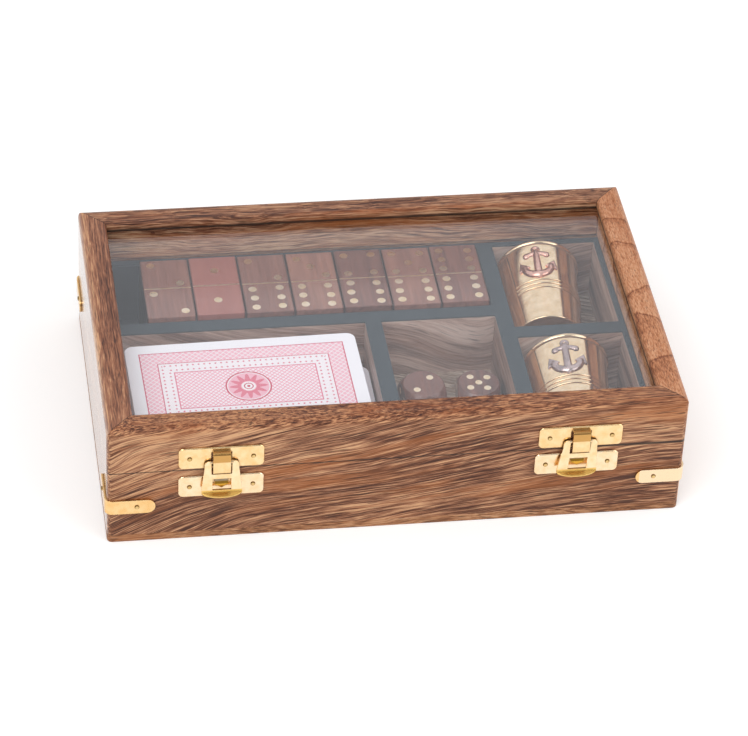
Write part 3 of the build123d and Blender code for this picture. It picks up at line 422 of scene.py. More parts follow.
def spun_wall(tree, mm, bump, depth):
    """Adds lathe marks 0.6 mm apart, of a depth, and the flare to the bump of a cup's wall."""
    marks = add(tree, "ShaderNodeVectorMath", mm, (0.03, 1.6, 0.03), operation="MULTIPLY")
    marks = add(tree, "ShaderNodeTexNoise", marks, named={"Scale": 1.0, "Detail": 3.0})
    bump = add(tree, "ShaderNodeBump", named={
        "Strength": depth, "Distance": 0.0002, "Height": marks, "Normal": bump})
    y = add(tree, "ShaderNodeSeparateXYZ", mm).outputs[1]
    from_foot = add(tree, "ShaderNodeMath", y, FRONT_FOOT, operation="SUBTRACT")
    from_foot = add(tree, "ShaderNodeMath", from_foot, NEXT_FOOT, operation="MODULO")
    flare = add(tree, "ShaderNodeMath", from_foot, 2.0, operation="POWER")
    flare = add(tree, "ShaderNodeMath", flare, FLARE, operation="MULTIPLY")
    return add(tree, "ShaderNodeBump", named={"Distance": MM, "Height": flare, "Normal": bump})


# %% Metal finishes
def metal(name, tint, dull, roughness, scratch=0.04, grain=1.2, rim_shade=None, spun=0.0,
          deep=None, painted_reflection=None):
    """Polished metal. scratch is how much its marks change the roughness, and grain how many there
    are to a millimetre: real ones are finer than a render of this size shows. spun is the depth of
    lathe marks. The last argument is a box, lowest and highest corner in millimetres, and the tint
    of the reflection painted inside it."""
    made, tree = material(name)
    mm = place_in_mm(tree)
    clouds = add(tree, "ShaderNodeTexNoise", mm, named={"Scale": 0.35, "Detail": 3.0})
    clouds = add(tree, "ShaderNodeValToRGB", clouds, stops=((0.35, 0.0), (0.7, 1.0)))
    paint = add(tree, "ShaderNodeMix", clouds, colour(tint), colour(dull), data_type="RGBA")
    # painted reflection: inside the box, a tint stands in for what the brass mirrors there
    if painted_reflection:
        low, high, shade = painted_reflection
        inside = add(tree, "ShaderNodeVectorMath", mm, low, operation="MAXIMUM")
        inside = add(tree, "ShaderNodeVectorMath", inside, high, operation="MINIMUM")
        away = add(tree, "ShaderNodeVectorMath", mm, inside, operation="DISTANCE")
        away = add(tree, "ShaderNodeValToRGB", away, stops=((0.0, 1.0), (0.35, 0.0)),
                   between="EASE")
        paint = add(tree, "ShaderNodeMix", away, paint, colour(shade), data_type="RGBA")
    if deep:
        # painted shade and tarnish: the corners, which light and polish hardly reach, are painted
        # dark and golden
        corner = add(tree, "ShaderNodeAmbientOcclusion", samples=8, named={"Distance": 0.0018})
        corner = add(tree, "ShaderNodeValToRGB", corner.outputs["AO"],
                     stops=((0.3, 0.95), (0.5, 0.6), (0.85, 0.0)))
        paint = add(tree, "ShaderNodeMix", corner, paint, colour(deep), data_type="RGBA")
    if rim_shade:
        # painted shade: faces that turn off X and Y, the sides of a nail head, take the dark rim
        # colour
        facing = add(tree, "ShaderNodeTexCoord").outputs["Normal"]
        facing = add(tree, "ShaderNodeVectorMath", facing, operation="ABSOLUTE")
        x, y, _ = add(tree, "ShaderNodeSeparateXYZ", facing).outputs
        flat = add(tree, "ShaderNodeMath", x, y, operation="MAXIMUM")
        flat = add(tree, "ShaderNodeValToRGB", flat, stops=((0.9, 0.0), (0.97, 1.0)))
        paint = add(tree, "ShaderNodeMix", flat, colour(rim_shade), paint, data_type="RGBA")
    marks = add(tree, "ShaderNodeTexNoise", mm, named={
        "Scale": grain, "Detail": 4.0, "Roughness": 0.6})
    rough = add(tree, "ShaderNodeValToRGB", marks, stops=(
        (0.3, roughness - scratch), (0.7, roughness + scratch)))
    bump = add(tree, "ShaderNodeBump", named={
        "Strength": 0.12, "Distance": 0.0001, "Height": marks})
    if deep:
        # tumbling rounds every edge by about a third of a millimetre
        rounded = add(tree, "ShaderNodeBevel", 0.00035, samples=6)
        tree.links.new(rounded.outputs[0], bump.inputs["Normal"])
    if spun:
        bump = spun_wall(tree, mm, bump, spun)
    surface = add(tree, "ShaderNodeBsdfPrincipled", named={
        "Base Color": paint, "Metallic": 1.0, "Roughness": rough, "Normal": bump})
    add(tree, "ShaderNodeOutputMaterial", surface)
    return made


# %% [markdown]
# Brass that mirrors brass looks a deeper gold, as under a hasp's lip, on its nose and down its
# tongue, and the strap at the front right corner mirrors paler. These reflections are painted into
# the colour: a box of millimetres picks each such place out.

# %% Finishes of the fittings, cups and anchors
STAMPED = (
    ("", ("_strap", "_leaf"), "#f5d097", "#edbe7c", ((90, -80, 0), (200, -60, 40), "#f9dcb6")),
    (" hasp", "_hasp", "#fbe0b6", "#f4cf99", ((-200, -80, 15), (200, -60, 24.6), "#e6bd6c")),
    (" catch", "_catch_plate", "#fbe3bf", "#f5d3a4",
     ((-200, -80, 15), (200, -68.75, 35), "#dca540")),
    (" plate", "_hasp_plate", "#f9daa8", "#f1c88c",
     ((-200, -80, 37.4), (200, -69.3, 41.4), "#cb9c5c")))
for kind, ending, tint, dull, painted_reflection in STAMPED:
    # the deep colour is painted shade and tarnish in the corners
    brass = metal("stamped and tumbled brass" + kind, tint, dull, 0.2, deep="#8a5a1c",
                  painted_reflection=painted_reflection)
    fittings = [n for n in nodes if n.endswith(ending)]
    finish_with(brass, *fittings)
    print(brass.name, "on", fittings)
pin_brass = metal("brass pins", "#e8c98f", "#c9a366", 0.3, rim_shade="#6b5224")
inlay_brass = metal("brass inlay, sanded flush", "#f6e4cc", "#ecd2a8", 0.3)
cup_brass = metal("spun and polished brass", "#f5dab6", "#eac89f", 0.1, scratch=0.02, grain=0.6,
                  spun=0.3)
copper = metal("copper plated cast brass", "#ecbcab", "#cf9686", 0.22)
nickel = metal("black nickel plated cast brass", "#c9b4b0", "#9f8d8c", 0.22)

finish_with(pin_brass, *[n for n in nodes if n.endswith(("_nails", "_pin", "_screws"))])
finish_with(inlay_brass, "domino_pips", "domino_bars", "dice_pips")
finish_with(cup_brass, "rear_cup", "front_cup")

# %% [markdown]
# ## Blue-grey felt
# Wool felt is a matt tangle of short fibres. Fine noise breaks up its colour, a sheen lights its
# fuzzy edge, and a few pale specks are lint. Real fibres are finer than a render of this size
# shows, so the noise is drawn half a millimetre wide.

# %% Felt and floor liners
felt, tree = material("pressed wool felt")
mm = place_in_mm(tree)
fuzz = add(tree, "ShaderNodeTexNoise", mm, named={"Scale": 2.2, "Detail": 4.0, "Roughness": 0.7})
blotch = add(tree, "ShaderNodeTexNoise", mm, named={"Scale": 0.05, "Detail": 2.0})
tone = add(tree, "ShaderNodeMath", fuzz, blotch, operation="MULTIPLY")
paint = add(tree, "ShaderNodeValToRGB", tone, stops=(
    (0.1, "#353f46"), (0.25, "#3a444b"), (0.42, "#3f4951")))
lint = add(tree, "ShaderNodeTexVoronoi", mm, named={"Scale": 0.22})
lint = add(tree, "ShaderNodeValToRGB", lint, stops=((0.02, 0.7), (0.035, 0.0)))
paint = add(tree, "ShaderNodeMix", lint, paint, colour("#a9b1b3"), data_type="RGBA")
bump = add(tree, "ShaderNodeBump", named={"Strength": 0.06, "Distance": 0.0002, "Height": fuzz})
surface = add(tree, "ShaderNodeBsdfPrincipled", named={
    "Base Color": paint, "Roughness": 0.95, "Normal": bump, "Sheen Weight": 0.35,
    "Sheen Roughness": 0.4, "Specular IOR Level": 0.2})
add(tree, "ShaderNodeOutputMaterial", surface)
finish_with(felt, "tray_rim_felt", "domino_bay_felt")
liner_wood = sheesham(
    "sanded veneer floor", 20, 8, ("#7d6a5c", "#9a8677", "#b09d8e", "#c5b4a6", "#d6c8bc"),
    amber_share=0.1, joints=False, roughness=0.55)
finish_with(liner_wood, "bay_floor_liners")
print("finishes", felt.name, "and", liner_wood.name)


# %% [markdown]
# ## Dominoes and dice
# The tiles are small offcuts of the same hard wood, each with its own tone, so the pattern is told
# which tile it is on: the place along the row, divided by the pitch and rounded down.

# %% Tile and die wood
def small_wood(name, tones, pitch, origin, reddish=None):
    """Fine-grained hard wood whose tone changes from piece to piece. origin is the first piece's
    corner and pitch the room that each piece takes, both in millimetres."""
    made, tree = material(name)
    mm = place_in_mm(tree)
    cell = add(tree, "ShaderNodeVectorMath", mm, origin, operation="SUBTRACT")
    cell = add(tree, "ShaderNodeVectorMath", cell, tuple(1 / p for p in pitch),
               operation="MULTIPLY")
    inside = add(tree, "ShaderNodeVectorMath", cell, operation="FRACTION")
    cell = add(tree, "ShaderNodeVectorMath", cell, operation="FLOOR")
    chance = add(tree, "ShaderNodeTexWhiteNoise", cell)
    jump = add(tree, "ShaderNodeVectorMath", chance.outputs["Color"], 60.0, operation="SCALE")
    grain = add(tree, "ShaderNodeVectorMath", mm, jump)
    lines = add(tree, "ShaderNodeVectorMath", grain, (1 / 1.6, 1 / 26, 1 / 1.6),
                operation="MULTIPLY")
    lines = add(tree, "ShaderNodeTexNoise", lines, named={
        "Scale": 1.0, "Detail": 4.0, "Roughness": 0.6})
    tone = add(tree, "ShaderNodeMath", lines, 0.75, operation="MULTIPLY")
    tone = add(tree, "ShaderNodeMath", chance, 0.25, tone, operation="MULTIPLY_ADD")
    paint = add(tree, "ShaderNodeValToRGB", tone, stops=[*zip((0.3, 0.5, 0.72), tones)])
    if reddish:
        # the second tile of a row is of redder wood
        column = add(tree, "ShaderNodeSeparateXYZ", cell).outputs[0]
        is_second = add(tree, "ShaderNodeMath", column, 1.0, 0.4, operation="COMPARE")
        share = add(tree, "ShaderNodeMath", is_second, 0.55, operation="MULTIPLY")
        paint = add(tree, "ShaderNodeMix", share, paint, colour(reddish), data_type="RGBA")
        # painted shade: the edges where two tiles meet are darkened, as the narrow gaps between
        # them are in shade
        gap_shade = add(tree, "ShaderNodeSeparateXYZ", inside).outputs[0]
        gap_shade = add(tree, "ShaderNodeMath", gap_shade, 0.5, operation="PINGPONG")
        gap_shade = add(tree, "ShaderNodeValToRGB", gap_shade, stops=((0.012, 0.85), (0.045, 0.0)))
        paint = add(tree, "ShaderNodeMix", gap_shade, paint, colour("#2a1713"), data_type="RGBA")
    bump = add(tree, "ShaderNodeBump", named={
        "Strength": 0.1, "Distance": 0.0001, "Height": lines})
    surface = add(tree, "ShaderNodeBsdfPrincipled", named={
        "Base Color": paint, "Roughness": 0.3, "IOR": 1.5, "Normal": bump,
        "Coat Weight": 0.3, "Coat Roughness": 0.2})
    add(tree, "ShaderNodeOutputMaterial", surface)
    return made


ONE_CELL = 400  # mm, longer than the tray: the tone doesn't change in that direction
TILE_PITCH, TILE_GAP, TILE_HEIGHT = 18.85, 0.25, 7.1  # mm
tile_low, tile_high = (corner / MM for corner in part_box("domino_layer_4"))
tile_wood = small_wood(
    "polished rosewood tiles", ("#64403a", "#875a4f", "#a37262"),
    (TILE_PITCH, ONE_CELL, TILE_HEIGHT), (tile_low.x - TILE_GAP / 2, -200, tile_low.z),
    reddish="#b0635c")
die_wood = small_wood(
    "turned rosewood dice", ("#5f382e", "#7b4d40", "#946253"), (22, 19, ONE_CELL), (5, -60, -100))
print("tiles from", tile_low, "to", tile_high)
finish_with(tile_wood, *[f"domino_layer_{i}" for i in range(1, 5)])
finish_with(die_wood, "dice")

# %% [markdown]
# ## Playing cards
# A deck is 54 cards of coated stock, each 0.3 mm thick and never quite square on the next. Coated
# stock is smooth and has a soft gloss.

# %% Deck sizes, read from the frame
UPPER_TURN = math.radians(1.1)  # the upper deck lies a little askew
deck_low, deck_high = (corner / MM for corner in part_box("lower_card_deck"))
CARD_LENGTH, CARD_WIDTH = deck_high.x - deck_low.x, deck_high.y - deck_low.y
DECK_THICKNESS = deck_high.z - deck_low.z
CARD_CORNER = 3.2  # mm
CARDS = 54
upper_middle = sum(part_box("upper_card_deck"), Vector()) / 2
lower_middle = sum(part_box("lower_card_deck"), Vector()) / 2
print("card", CARD_LENGTH, CARD_WIDTH, "thickness", DECK_THICKNESS / CARDS)

# %% Card stock
stock, tree = material("coated card stock")
fibre = add(tree, "ShaderNodeTexNoise", place_in_mm(tree), named={"Scale": 1.5, "Detail": 3.0})
paint = add(tree, "ShaderNodeValToRGB", fibre, stops=((0.3, "#f3eff8"), (0.7, "#fcf8ff")))
surface = add(tree, "ShaderNodeBsdfPrincipled", named={
    "Base Color": paint, "Roughness": 0.4, "IOR": 1.48})
add(tree, "ShaderNodeOutputMaterial", surface)

# %% [markdown]
# The card backs carry a plain geometric print of frames, a lattice and a rosette. It is worked out
# from the place on the card: the distance from the card's edge picks the frame, a zigzag of the
# place gives the lattice, and the distance and angle from the middle give the rosette.

# %% Print of the card back: place on the card
card_back, tree = material("printed and coated card back")
place = add(tree, "ShaderNodeTexCoord").outputs["Object"]
card = add(tree, "ShaderNodeMapping", place, vector_type="TEXTURE", named={
    "Location": (upper_middle.x, upper_middle.y, 0), "Rotation": (0, 0, UPPER_TURN),
    "Scale": (MM, MM, MM)})
x, y, _ = add(tree, "ShaderNodeSeparateXYZ", card).outputs
from_end = add(tree, "ShaderNodeMath", x, operation="ABSOLUTE")
from_end = add(tree, "ShaderNodeMath", CARD_LENGTH / 2, from_end, operation="SUBTRACT")
from_side = add(tree, "ShaderNodeMath", y, operation="ABSOLUTE")
from_side = add(tree, "ShaderNodeMath", CARD_WIDTH / 2, from_side, operation="SUBTRACT")
from_edge = add(tree, "ShaderNodeMath", from_end, from_side, operation="MINIMUM")


def inked(tree, far, reach, *inks):
    """Plain inks that follow each other with a distance, each from so many millimetres on."""
    share = add(tree, "ShaderNodeMath", far, reach, operation="DIVIDE")
    return add(tree, "ShaderNodeValToRGB", share, between="CONSTANT",
               stops=[(start / reach, ink) for start, ink in inks])


def within(tree, value, low, high):
    """1 where value lies between low and high, else 0."""
    above = add(tree, "ShaderNodeMath", value, low, operation="GREATER_THAN")
    below = add(tree, "ShaderNodeMath", value, high, operation="LESS_THAN")
    return add(tree, "ShaderNodeMath", above, below, operation="MULTIPLY")


# %% Print of the card back: frames and lattice
RED, ROSE, PALE = "#cf3f60", "#f6b9ca", "#fdeef4"
BAND, BAND_END, PANEL = 5.3, 11.2, 17.2  # mm from the card's edge
paint = inked(tree, from_edge, 28.0, (0, "#faf6fd"), (4.9, RED), (BAND, ROSE), (BAND_END, RED),
              (11.5, "#faf0f6"), (16.8, "#e0708c"), (PANEL, PALE))
# the lattice is wide in the band and fine in the panel
in_band = within(tree, from_edge, BAND, BAND_END)
in_panel = add(tree, "ShaderNodeMath", from_edge, PANEL, operation="GREATER_THAN")
mesh_size = add(tree, "ShaderNodeMath", in_panel, -0.2, 1.15, operation="MULTIPLY_ADD")
rising = add(tree, "ShaderNodeMath", x, y, operation="ADD")
rising = add(tree, "ShaderNodeMath", rising, mesh_size, operation="PINGPONG")
falling = add(tree, "ShaderNodeMath", x, y, operation="SUBTRACT")
falling = add(tree, "ShaderNodeMath", falling, mesh_size, operation="PINGPONG")
lattice = add(tree, "ShaderNodeMath", rising, falling, operation="MINIMUM")
lattice = add(tree, "ShaderNodeMath", lattice, 0.23, operation="LESS_THAN")
for where, ink in ((in_band, "#fbeef3"), (in_panel, "#f09cb4")):
    line = add(tree, "ShaderNodeMath", lattice, where, operation="MULTIPLY")
    paint = add(tree, "ShaderNodeMix", line, paint, colour(ink), data_type="RGBA")

# %% Print of the card back: two rows of dots in the white frame
DOTS, DOTS_END = 11.8, 16.6  # mm from the card's edge
# the dots run along whichever edge is nearer
on_side = add(tree, "ShaderNodeMath", from_side, from_end, operation="LESS_THAN")
run = add(tree, "ShaderNodeMix", on_side, y, x, data_type="FLOAT")
run = add(tree, "ShaderNodeMath", run, 1.05, operation="PINGPONG")
row = add(tree, "ShaderNodeMath", from_edge, 12.9, operation="SUBTRACT")
row = add(tree, "ShaderNodeMath", row, 1.3, operation="PINGPONG")
dot = add(tree, "ShaderNodeMath", run, row, operation="ADD")
dot = add(tree, "ShaderNodeMath", dot, 0.5, operation="LESS_THAN")
dot = add(tree, "ShaderNodeMath", dot, within(tree, from_edge, DOTS, DOTS_END),
          operation="MULTIPLY")
paint = add(tree, "ShaderNodeMix", dot, paint, colour("#e0788e"), data_type="RGBA")

# %% Print of the card back: rosette of rings and petals
PETALS, EYE, ROSETTE = 12.0, 2.9, 8.6  # number, and radius in mm
radius = add(tree, "ShaderNodeCombineXYZ", x, y)
radius = add(tree, "ShaderNodeVectorMath", radius, operation="LENGTH")
rings = inked(tree, radius, 10.0, (0, RED), (0.6, "#fbf0f4"), (1.4, RED), (1.8, "#fbf0f4"),
              (2.6, ROSE), (7.6, "#fbf0f4"), (8.0, RED))
angle = add(tree, "ShaderNodeMath", y, x, operation="ARCTAN2")
angle = add(tree, "ShaderNodeMath", angle, PETALS, operation="MULTIPLY")
petal_end = add(tree, "ShaderNodeMath", angle, operation="COSINE")
petal_end = add(tree, "ShaderNodeMath", petal_end, 1.5, 5.6, operation="MULTIPLY_ADD")
petals = within(tree, radius, EYE, petal_end)
flower = add(tree, "ShaderNodeMix", petals, rings, colour("#e5768d"), data_type="RGBA")
in_rosette = add(tree, "ShaderNodeMath", radius, ROSETTE, operation="LESS_THAN")
paint = add(tree, "ShaderNodeMix", in_rosette, paint, flower, data_type="RGBA")
surface = add(tree, "ShaderNodeBsdfPrincipled", named={
    "Base Color": paint, "Roughness": 0.38, "IOR": 1.48})
add(tree, "ShaderNodeOutputMaterial", surface)
print("card back nodes", len(tree.nodes))

# %% [markdown]
# The deck itself is a row of points with a card on each, moved and turned by a small random amount
# with a fixed seed. One card is a rounded rectangle, filled, drawn out to its thickness and closed
# underneath. Faces that look up at the very top of the deck get the printed back.

# %% Deck of cards in Geometry Nodes: the inputs
deck_tree = bpy.data.node_groups.new("deck_of_cards", "GeometryNodeTree")
for kind, names in (("Int", ("Cards", "Seed")), ("Vector", ("Place", "Turn")),
                    ("Float", ("Length", "Width", "Corner", "Thickness", "Wander"))):
    for name in names:
        deck_tree.interface.new_socket(name, in_out="INPUT", socket_type=f"NodeSocket{kind}")
deck_tree.interface.new_socket("Geometry", in_out="OUTPUT", socket_type="NodeSocketGeometry")
given = add(deck_tree, "NodeGroupInput").outputs

# %% Deck of cards: one card
CARD_SHARE = 0.94  # of the room that a card takes in the deck; the rest is air
WELD = 0.00001  # metres
pitch = add(deck_tree, "ShaderNodeMath", given["Thickness"], given["Cards"], operation="DIVIDE")
outline = add(deck_tree, "GeometryNodeCurvePrimitiveQuadrilateral", given["Length"], given["Width"])
outline = add(deck_tree, "GeometryNodeFilletCurve", outline, mode="POLY",
              named={"Radius": given["Corner"], "Count": 5})
sheet = add(deck_tree, "GeometryNodeFillCurve", outline, mode="NGONS")
stock_height = add(deck_tree, "ShaderNodeMath", pitch, CARD_SHARE, operation="MULTIPLY")
raised = add(deck_tree, "GeometryNodeExtrudeMesh", sheet, named={
    "Offset Scale": stock_height, "Individual": False})
under = add(deck_tree, "GeometryNodeFlipFaces", sheet)
one_card = add(deck_tree, "GeometryNodeJoinGeometry", raised)
deck_tree.links.new(under.outputs[0], one_card.inputs[0])
one_card = add(deck_tree, "GeometryNodeMergeByDistance", one_card, named={"Distance": WELD})

# %% Deck of cards: the pile
TWIST = 0.003  # radians, the most that a card is turned on the next
step = add(deck_tree, "ShaderNodeCombineXYZ", 0, 0, pitch)
points = add(deck_tree, "GeometryNodeMeshLine", named={"Count": given["Cards"], "Offset": step})
stack = add(deck_tree, "GeometryNodeInstanceOnPoints", points, named={"Instance": one_card})
least = add(deck_tree, "ShaderNodeMath", given["Wander"], -1.0, operation="MULTIPLY")
shift = add(deck_tree, "FunctionNodeRandomValue",
            add(deck_tree, "ShaderNodeCombineXYZ", least, least, 0.0),
            add(deck_tree, "ShaderNodeCombineXYZ", given["Wander"], given["Wander"], 0.0),
            data_type="FLOAT_VECTOR", named={"Seed": given["Seed"]})
stack = add(deck_tree, "GeometryNodeTranslateInstances", stack, named={"Translation": shift})
twist = add(deck_tree, "FunctionNodeRandomValue", (0, 0, -TWIST), (0, 0, TWIST),
            data_type="FLOAT_VECTOR", named={"Seed": given["Seed"]})
stack = add(deck_tree, "GeometryNodeRotateInstances", stack, named={"Rotation": twist})
stack = add(deck_tree, "GeometryNodeRealizeInstances", stack)

# %% Deck of cards: stock, print and place
stack = add(deck_tree, "GeometryNodeSetMaterial", stack, named={"Material": stock})
height = add(deck_tree, "GeometryNodeInputPosition")
height = add(deck_tree, "ShaderNodeSeparateXYZ", height).outputs[2]
top = add(deck_tree, "ShaderNodeMath", given["Thickness"], pitch, operation="SUBTRACT")
is_top = add(deck_tree, "FunctionNodeCompare", height, top, operation="GREATER_THAN")
facing = add(deck_tree, "GeometryNodeInputNormal")
facing = add(deck_tree, "ShaderNodeSeparateXYZ", facing).outputs[2]
looks_up = add(deck_tree, "FunctionNodeCompare", facing, 0.5, operation="GREATER_THAN")
printed = add(deck_tree, "FunctionNodeBooleanMath", is_top, looks_up, operation="AND")
stack = add(deck_tree, "GeometryNodeSetMaterial", stack, printed, card_back)
stack = add(deck_tree, "GeometryNodeTransform", stack, named={
    "Translation": given["Place"], "Rotation": given["Turn"]})
add(deck_tree, "NodeGroupOutput", stack)
print("deck tree nodes", len(deck_tree.nodes))


# %% Grow both decks
def grown(name, tree, values):
    """Object made by a Geometry Nodes tree with the given inputs, as a plain mesh."""
    maker = in_scene(name + "_maker", bpy.data.meshes.new(name))
    modifier = maker.modifiers.new("grow", "NODES")
    modifier.node_group = tree
    for item in tree.interface.items_tree:
        if item.in_out == "INPUT" and item.name in values:
            modifier[item.identifier] = values[item.name]
    mesh = plain_mesh(maker)
    mesh.name = name
    return in_scene(name, mesh)


WANDER = 0.12  # mm, the most that a card lies off the middle of the deck
for name, middle, turn, seed in (("lower", lower_middle, 0.0, 3),
                                 ("upper", upper_middle, UPPER_TURN, 8)):
    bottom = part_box(f"{name}_card_deck")[0].z
    deck = grown(f"{name}_deck_of_cards", deck_tree, {
        "Cards": CARDS, "Length": CARD_LENGTH * MM, "Width": CARD_WIDTH * MM,
        "Corner": CARD_CORNER * MM, "Thickness": DECK_THICKNESS * MM, "Wander": WANDER * MM,
        "Seed": seed, "Place": (middle.x, middle.y, bottom), "Turn": (0.0, 0.0, turn)})
    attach(deck, "base")
    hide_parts(f"{name}_card_deck")
    top = max(vertex.co.z for vertex in deck.data.vertices) / MM
    print(deck.name, "faces", len(deck.data.polygons), "top", top)

# %% [markdown]
# ## Cast anchors
# Each cup carries a small cast anchor with soft edges and arrow-shaped flukes. A casting has no
# sharp corners, so it is laid out flat from overlapping balls and wedges, melted into one skin with
# a voxel remesh, smoothed, and then wrapped round the cone of the cup's wall.

# %% Cup sizes and the place of each cup
CUP_FOOT_RADIUS, CUP_MOUTH_RADIUS = 13.5, 15.6  # mm
CUP_LENGTH = 43.2  # mm
RIM_ROLL, FOOT_BEAD = 1.1, 0.5  # mm, radius of the rolled rim and of the bead round the foot
RIM_OUT = 0.8  # mm, from the wall out to the rim
CUP_YAW = math.radians(3.6)
ANCHOR_ROLL = math.radians(8.0)
ANCHOR_AT = 0.722 * CUP_LENGTH  # from the foot to the anchor's middle
# a lying cup rests on its rim and its foot bead, so its axis leans by this much
rim_out = CUP_MOUTH_RADIUS + RIM_OUT - RIM_ROLL - CUP_FOOT_RADIUS
rim_along = CUP_LENGTH - RIM_ROLL - FOOT_BEAD
CUP_LEAN = (math.atan2(rim_out, rim_along)
            + math.asin((RIM_ROLL - FOOT_BEAD) / math.hypot(rim_out, rim_along)))
AXIS_UP = CUP_FOOT_RADIUS * math.cos(CUP_LEAN) - FOOT_BEAD * math.sin(CUP_LEAN) + FOOT_BEAD
bay_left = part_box("main_divider")[1].x / MM
tray_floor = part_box("bay_floor_liners")[1].z / MM
cup_feet = {}
for name, behind, right_of, clear in (("rear", "cup_divider", 14.9, 4.4),
                                      ("front", "tray_front_lining", 15.3, 8.8)):
    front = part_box(behind)[1].y / MM
    cup_feet[name] = Vector((bay_left + right_of, front + clear, tray_floor + AXIS_UP))
print("lean", round(math.degrees(CUP_LEAN), 2), "feet", cup_feet)


# %% One anchor, laid out flat in millimetres
HALF_WEDGE = 0.95  # mm, half the thickness of a fluke
SKIN_DETAIL = 0.17  # mm, size of a voxel


def anchor_skin():
    """Anchor 18 mm high with its middle at the origin, as one melted mesh."""
    shape = bmesh.new()

    def ball(x, y, radius):
        bmesh.ops.create_icosphere(shape, subdivisions=2, radius=radius,
                                   matrix=Matrix.Translation((x, y, 0)))

    def wedge(*corners):
        made = [shape.verts.new((x, y, z)) for x, y in corners for z in (-HALF_WEDGE, HALF_WEDGE)]
        bmesh.ops.convex_hull(shape, input=made)

    for i in range(25):  # shank, a little wider at the crown
        along = i / 24
        ball(0, 5.6 - 12.4 * along, 1.35 + 0.4 * along)
    for i in range(21):  # stock, drooping to its knobs
        across = i / 10 - 1
        ball(3.4 * across, 4.7 - 0.4 * across * across, 1.15)
    for side in (-1, 1):  # knobs and flukes
        ball(3.9 * side, 4.0, 1.45)
        wedge((6.6 * side, 0.8), (2.8 * side, -2.6), (7.6 * side, -4.0))
    for i in range(24):  # ring
        angle = math.tau * i / 24
        ball(1.2 * math.cos(angle), 7.0 + 1.2 * math.sin(angle), 0.7)
    for i in range(41):  # arms
        angle = math.radians(-172 + 164 * i / 40)
        ball(5.1 * math.cos(angle), -1.9 + 5.1 * math.sin(angle), 1.85 - 0.4 * abs(i / 20 - 1))
    wedge((-2.2, -7.4), (2.2, -7.4), (0, -9.4))  # point of the crown
    mesh = bpy.data.meshes.new("anchor_layout")
    shape.to_mesh(mesh)
    shape.free()
    layout = in_scene("anchor_layout", mesh)
    melt = layout.modifiers.new("melt", "REMESH")
    melt.mode = "VOXEL"
    melt.voxel_size = SKIN_DETAIL
    soften = layout.modifiers.new("soften", "SMOOTH")
    soften.factor = 0.5
    soften.iterations = 3
    return plain_mesh(layout)


skin = anchor_skin()
print("anchor faces", len(skin.polygons))

# %% Wrap an anchor round each cup
RELIEF, SUNK = 0.8, 0.3  # how far the casting stands out of the wall and into it, as shares
for name, cast, slot in (("rear", copper, "copper"), ("front", nickel, "nickel")):
    mesh = skin.copy()
    mesh.name = f"{name}_cast_anchor"
    lay_down = (Matrix.Translation(cup_feet[name]) @ Matrix.Rotation(-CUP_YAW, 4, "Z")
                @ Matrix.Rotation(CUP_LEAN - math.pi / 2, 4, "X"))
    for vertex in mesh.vertices:
        x, y, z = vertex.co
        height = ANCHOR_AT + y
        wall = CUP_FOOT_RADIUS + (CUP_MOUTH_RADIUS - CUP_FOOT_RADIUS) * height / CUP_LENGTH
        angle = x / wall - ANCHOR_ROLL
        radius = wall + (z * RELIEF if z > 0 else z * SUNK)
        on_cup = Vector((radius * math.sin(angle), -radius * math.cos(angle), height))
        vertex.co = (lay_down @ on_cup) * MM
    mesh.shade_smooth()
    mesh.materials.append(cast)
    piece = in_scene(mesh.name, mesh)
    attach(piece, "base")
    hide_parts(f"{name}_cup_anchor")

# %% [markdown]
# ## Floor, light and camera
# A pale floor and a white room, lit by large soft lamps. The room is white only for what is seen
# directly, mirrored or looked at through glass, so the brass mirrors white while the light on the
# wood stays plain. A real studio is darker where the camera and its stand are, in front and above,
# and polished metal needs that dark patch: it draws every bend and edge. The camera looks down
# from the front left through a long lens, with a slight roll.

# %% Floor
def seen_directly(tree, rays):
    """1 for what is looked at, mirrored or seen through glass, 0 for what only lights things."""
    seen = add(tree, "ShaderNodeMath", rays["Is Camera Ray"], rays["Is Glossy Ray"],
               operation="MAXIMUM")
    return add(tree, "ShaderNodeMath", seen, rays["Is Transmission Ray"], operation="MAXIMUM")


FLOOR_REACH = 6  # metres
floor_mesh = bpy.data.meshes.new("floor")
corners = [(x * FLOOR_REACH, y * FLOOR_REACH, 0) for x, y in ((-1, -1), (1, -1), (1, 1), (-1, 1))]
floor_mesh.from_pydata(corners, [], [(0, 1, 2, 3)])
floor = in_scene("floor", floor_mesh)
floor_finish, tree = material("white studio floor")
seen = seen_directly(tree, add(tree, "ShaderNodeLightPath").outputs)
matt = add(tree, "ShaderNodeBsdfDiffuse", colour("#ececec"))
glow = add(tree, "ShaderNodeEmission", (1, 1, 1, 1), 0.25)
both = add(tree, "ShaderNodeAddShader", matt, glow)
surface = add(tree, "ShaderNodeMixShader", seen, matt, both)
add(tree, "ShaderNodeOutputMaterial", surface)
floor_mesh.materials.append(floor_finish)
print("floor", FLOOR_REACH * 2, "m wide")

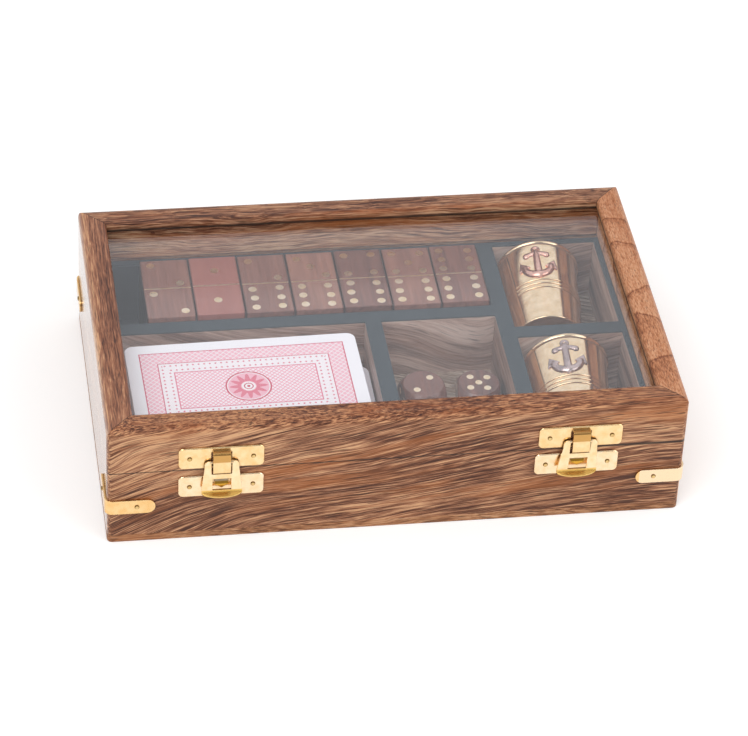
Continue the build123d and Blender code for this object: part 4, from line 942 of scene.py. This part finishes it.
# %% World
ROOM_LIGHT = 0.7  # strength of the room as a light on matt surfaces
DARK_SIDE = (0.0, -0.8, 0.6)  # direction of the camera's side of the room
MIRRORED_TINT = (0.98, 1.0, 1.06, 1)  # mirrored white is a touch cooler
world = bpy.data.worlds.new("studio")
bpy.context.scene.world = world
world.use_nodes = True
tree = world.node_tree
tree.nodes.clear()
rays = add(tree, "ShaderNodeLightPath").outputs
power = add(tree, "ShaderNodeMath", seen_directly(tree, rays), 1 - ROOM_LIGHT, ROOM_LIGHT,
            operation="MULTIPLY_ADD")
direction = add(tree, "ShaderNodeTexCoord").outputs["Generated"]
toward = add(tree, "ShaderNodeVectorMath", direction, DARK_SIDE, operation="DOT_PRODUCT")
mirrored = add(tree, "ShaderNodeValToRGB", toward, stops=((0.3, 1.0), (0.66, 0.85), (0.88, 0.34)))
mirrored = add(tree, "ShaderNodeMix", rays["Is Glossy Ray"], 1.0, mirrored, data_type="FLOAT")
power = add(tree, "ShaderNodeMath", power, mirrored, operation="MULTIPLY")
tint = add(tree, "ShaderNodeMix", rays["Is Glossy Ray"], (1, 1, 1, 1), MIRRORED_TINT,
           data_type="RGBA")
background = add(tree, "ShaderNodeBackground", tint, power)
add(tree, "ShaderNodeOutputWorld", background)
print("world nodes", len(tree.nodes))


# %% Lamps
def softbox(name, place, size, watts):
    """Square area lamp at place, in metres, that faces the box."""
    lamp = bpy.data.lights.new(name, "AREA")
    lamp.shape = "SQUARE"
    lamp.size = size
    lamp.energy = watts
    made = in_scene(name, lamp)
    made.location = place
    made.rotation_euler = (-Vector(place)).to_track_quat("-Z", "Y").to_euler()
    print(name, "lamp,", watts, "W")


softbox("key", (-0.8, -1.0, 1.6), 1.4, 17)
softbox("fill", (1.2, -0.9, 1.1), 1.4, 9)

# %% Camera
TURN, RISE, ROLL = (math.radians(a) for a in (-10.046, 38.197, 3.107))
AIM = Vector((5.367, 25.121 + CASE_Y, 0.0)) * MM
AWAY = 1.34737  # metres from the aim
IMAGE_WIDTH, FOCAL_LENGTH = 748, 3467.38  # pixels
SENSOR = 36.0  # mm
back = Vector((math.sin(TURN) * math.cos(RISE), -math.cos(TURN) * math.cos(RISE), math.sin(RISE)))
right = Vector((math.cos(TURN), math.sin(TURN), 0))
up = back.cross(right)
right, up = (math.cos(ROLL) * right + math.sin(ROLL) * up,
             math.cos(ROLL) * up - math.sin(ROLL) * right)
camera = in_scene("camera", bpy.data.cameras.new("camera"))
looking = Matrix((right, up, back)).transposed().to_4x4()
camera.matrix_world = Matrix.Translation(AIM + back * AWAY) @ looking
camera.data.sensor_width = SENSOR
camera.data.lens = FOCAL_LENGTH / IMAGE_WIDTH * SENSOR
bpy.context.scene.camera = camera
bpy.context.scene.view_settings.view_transform = "Standard"
print("camera lens", camera.data.lens)
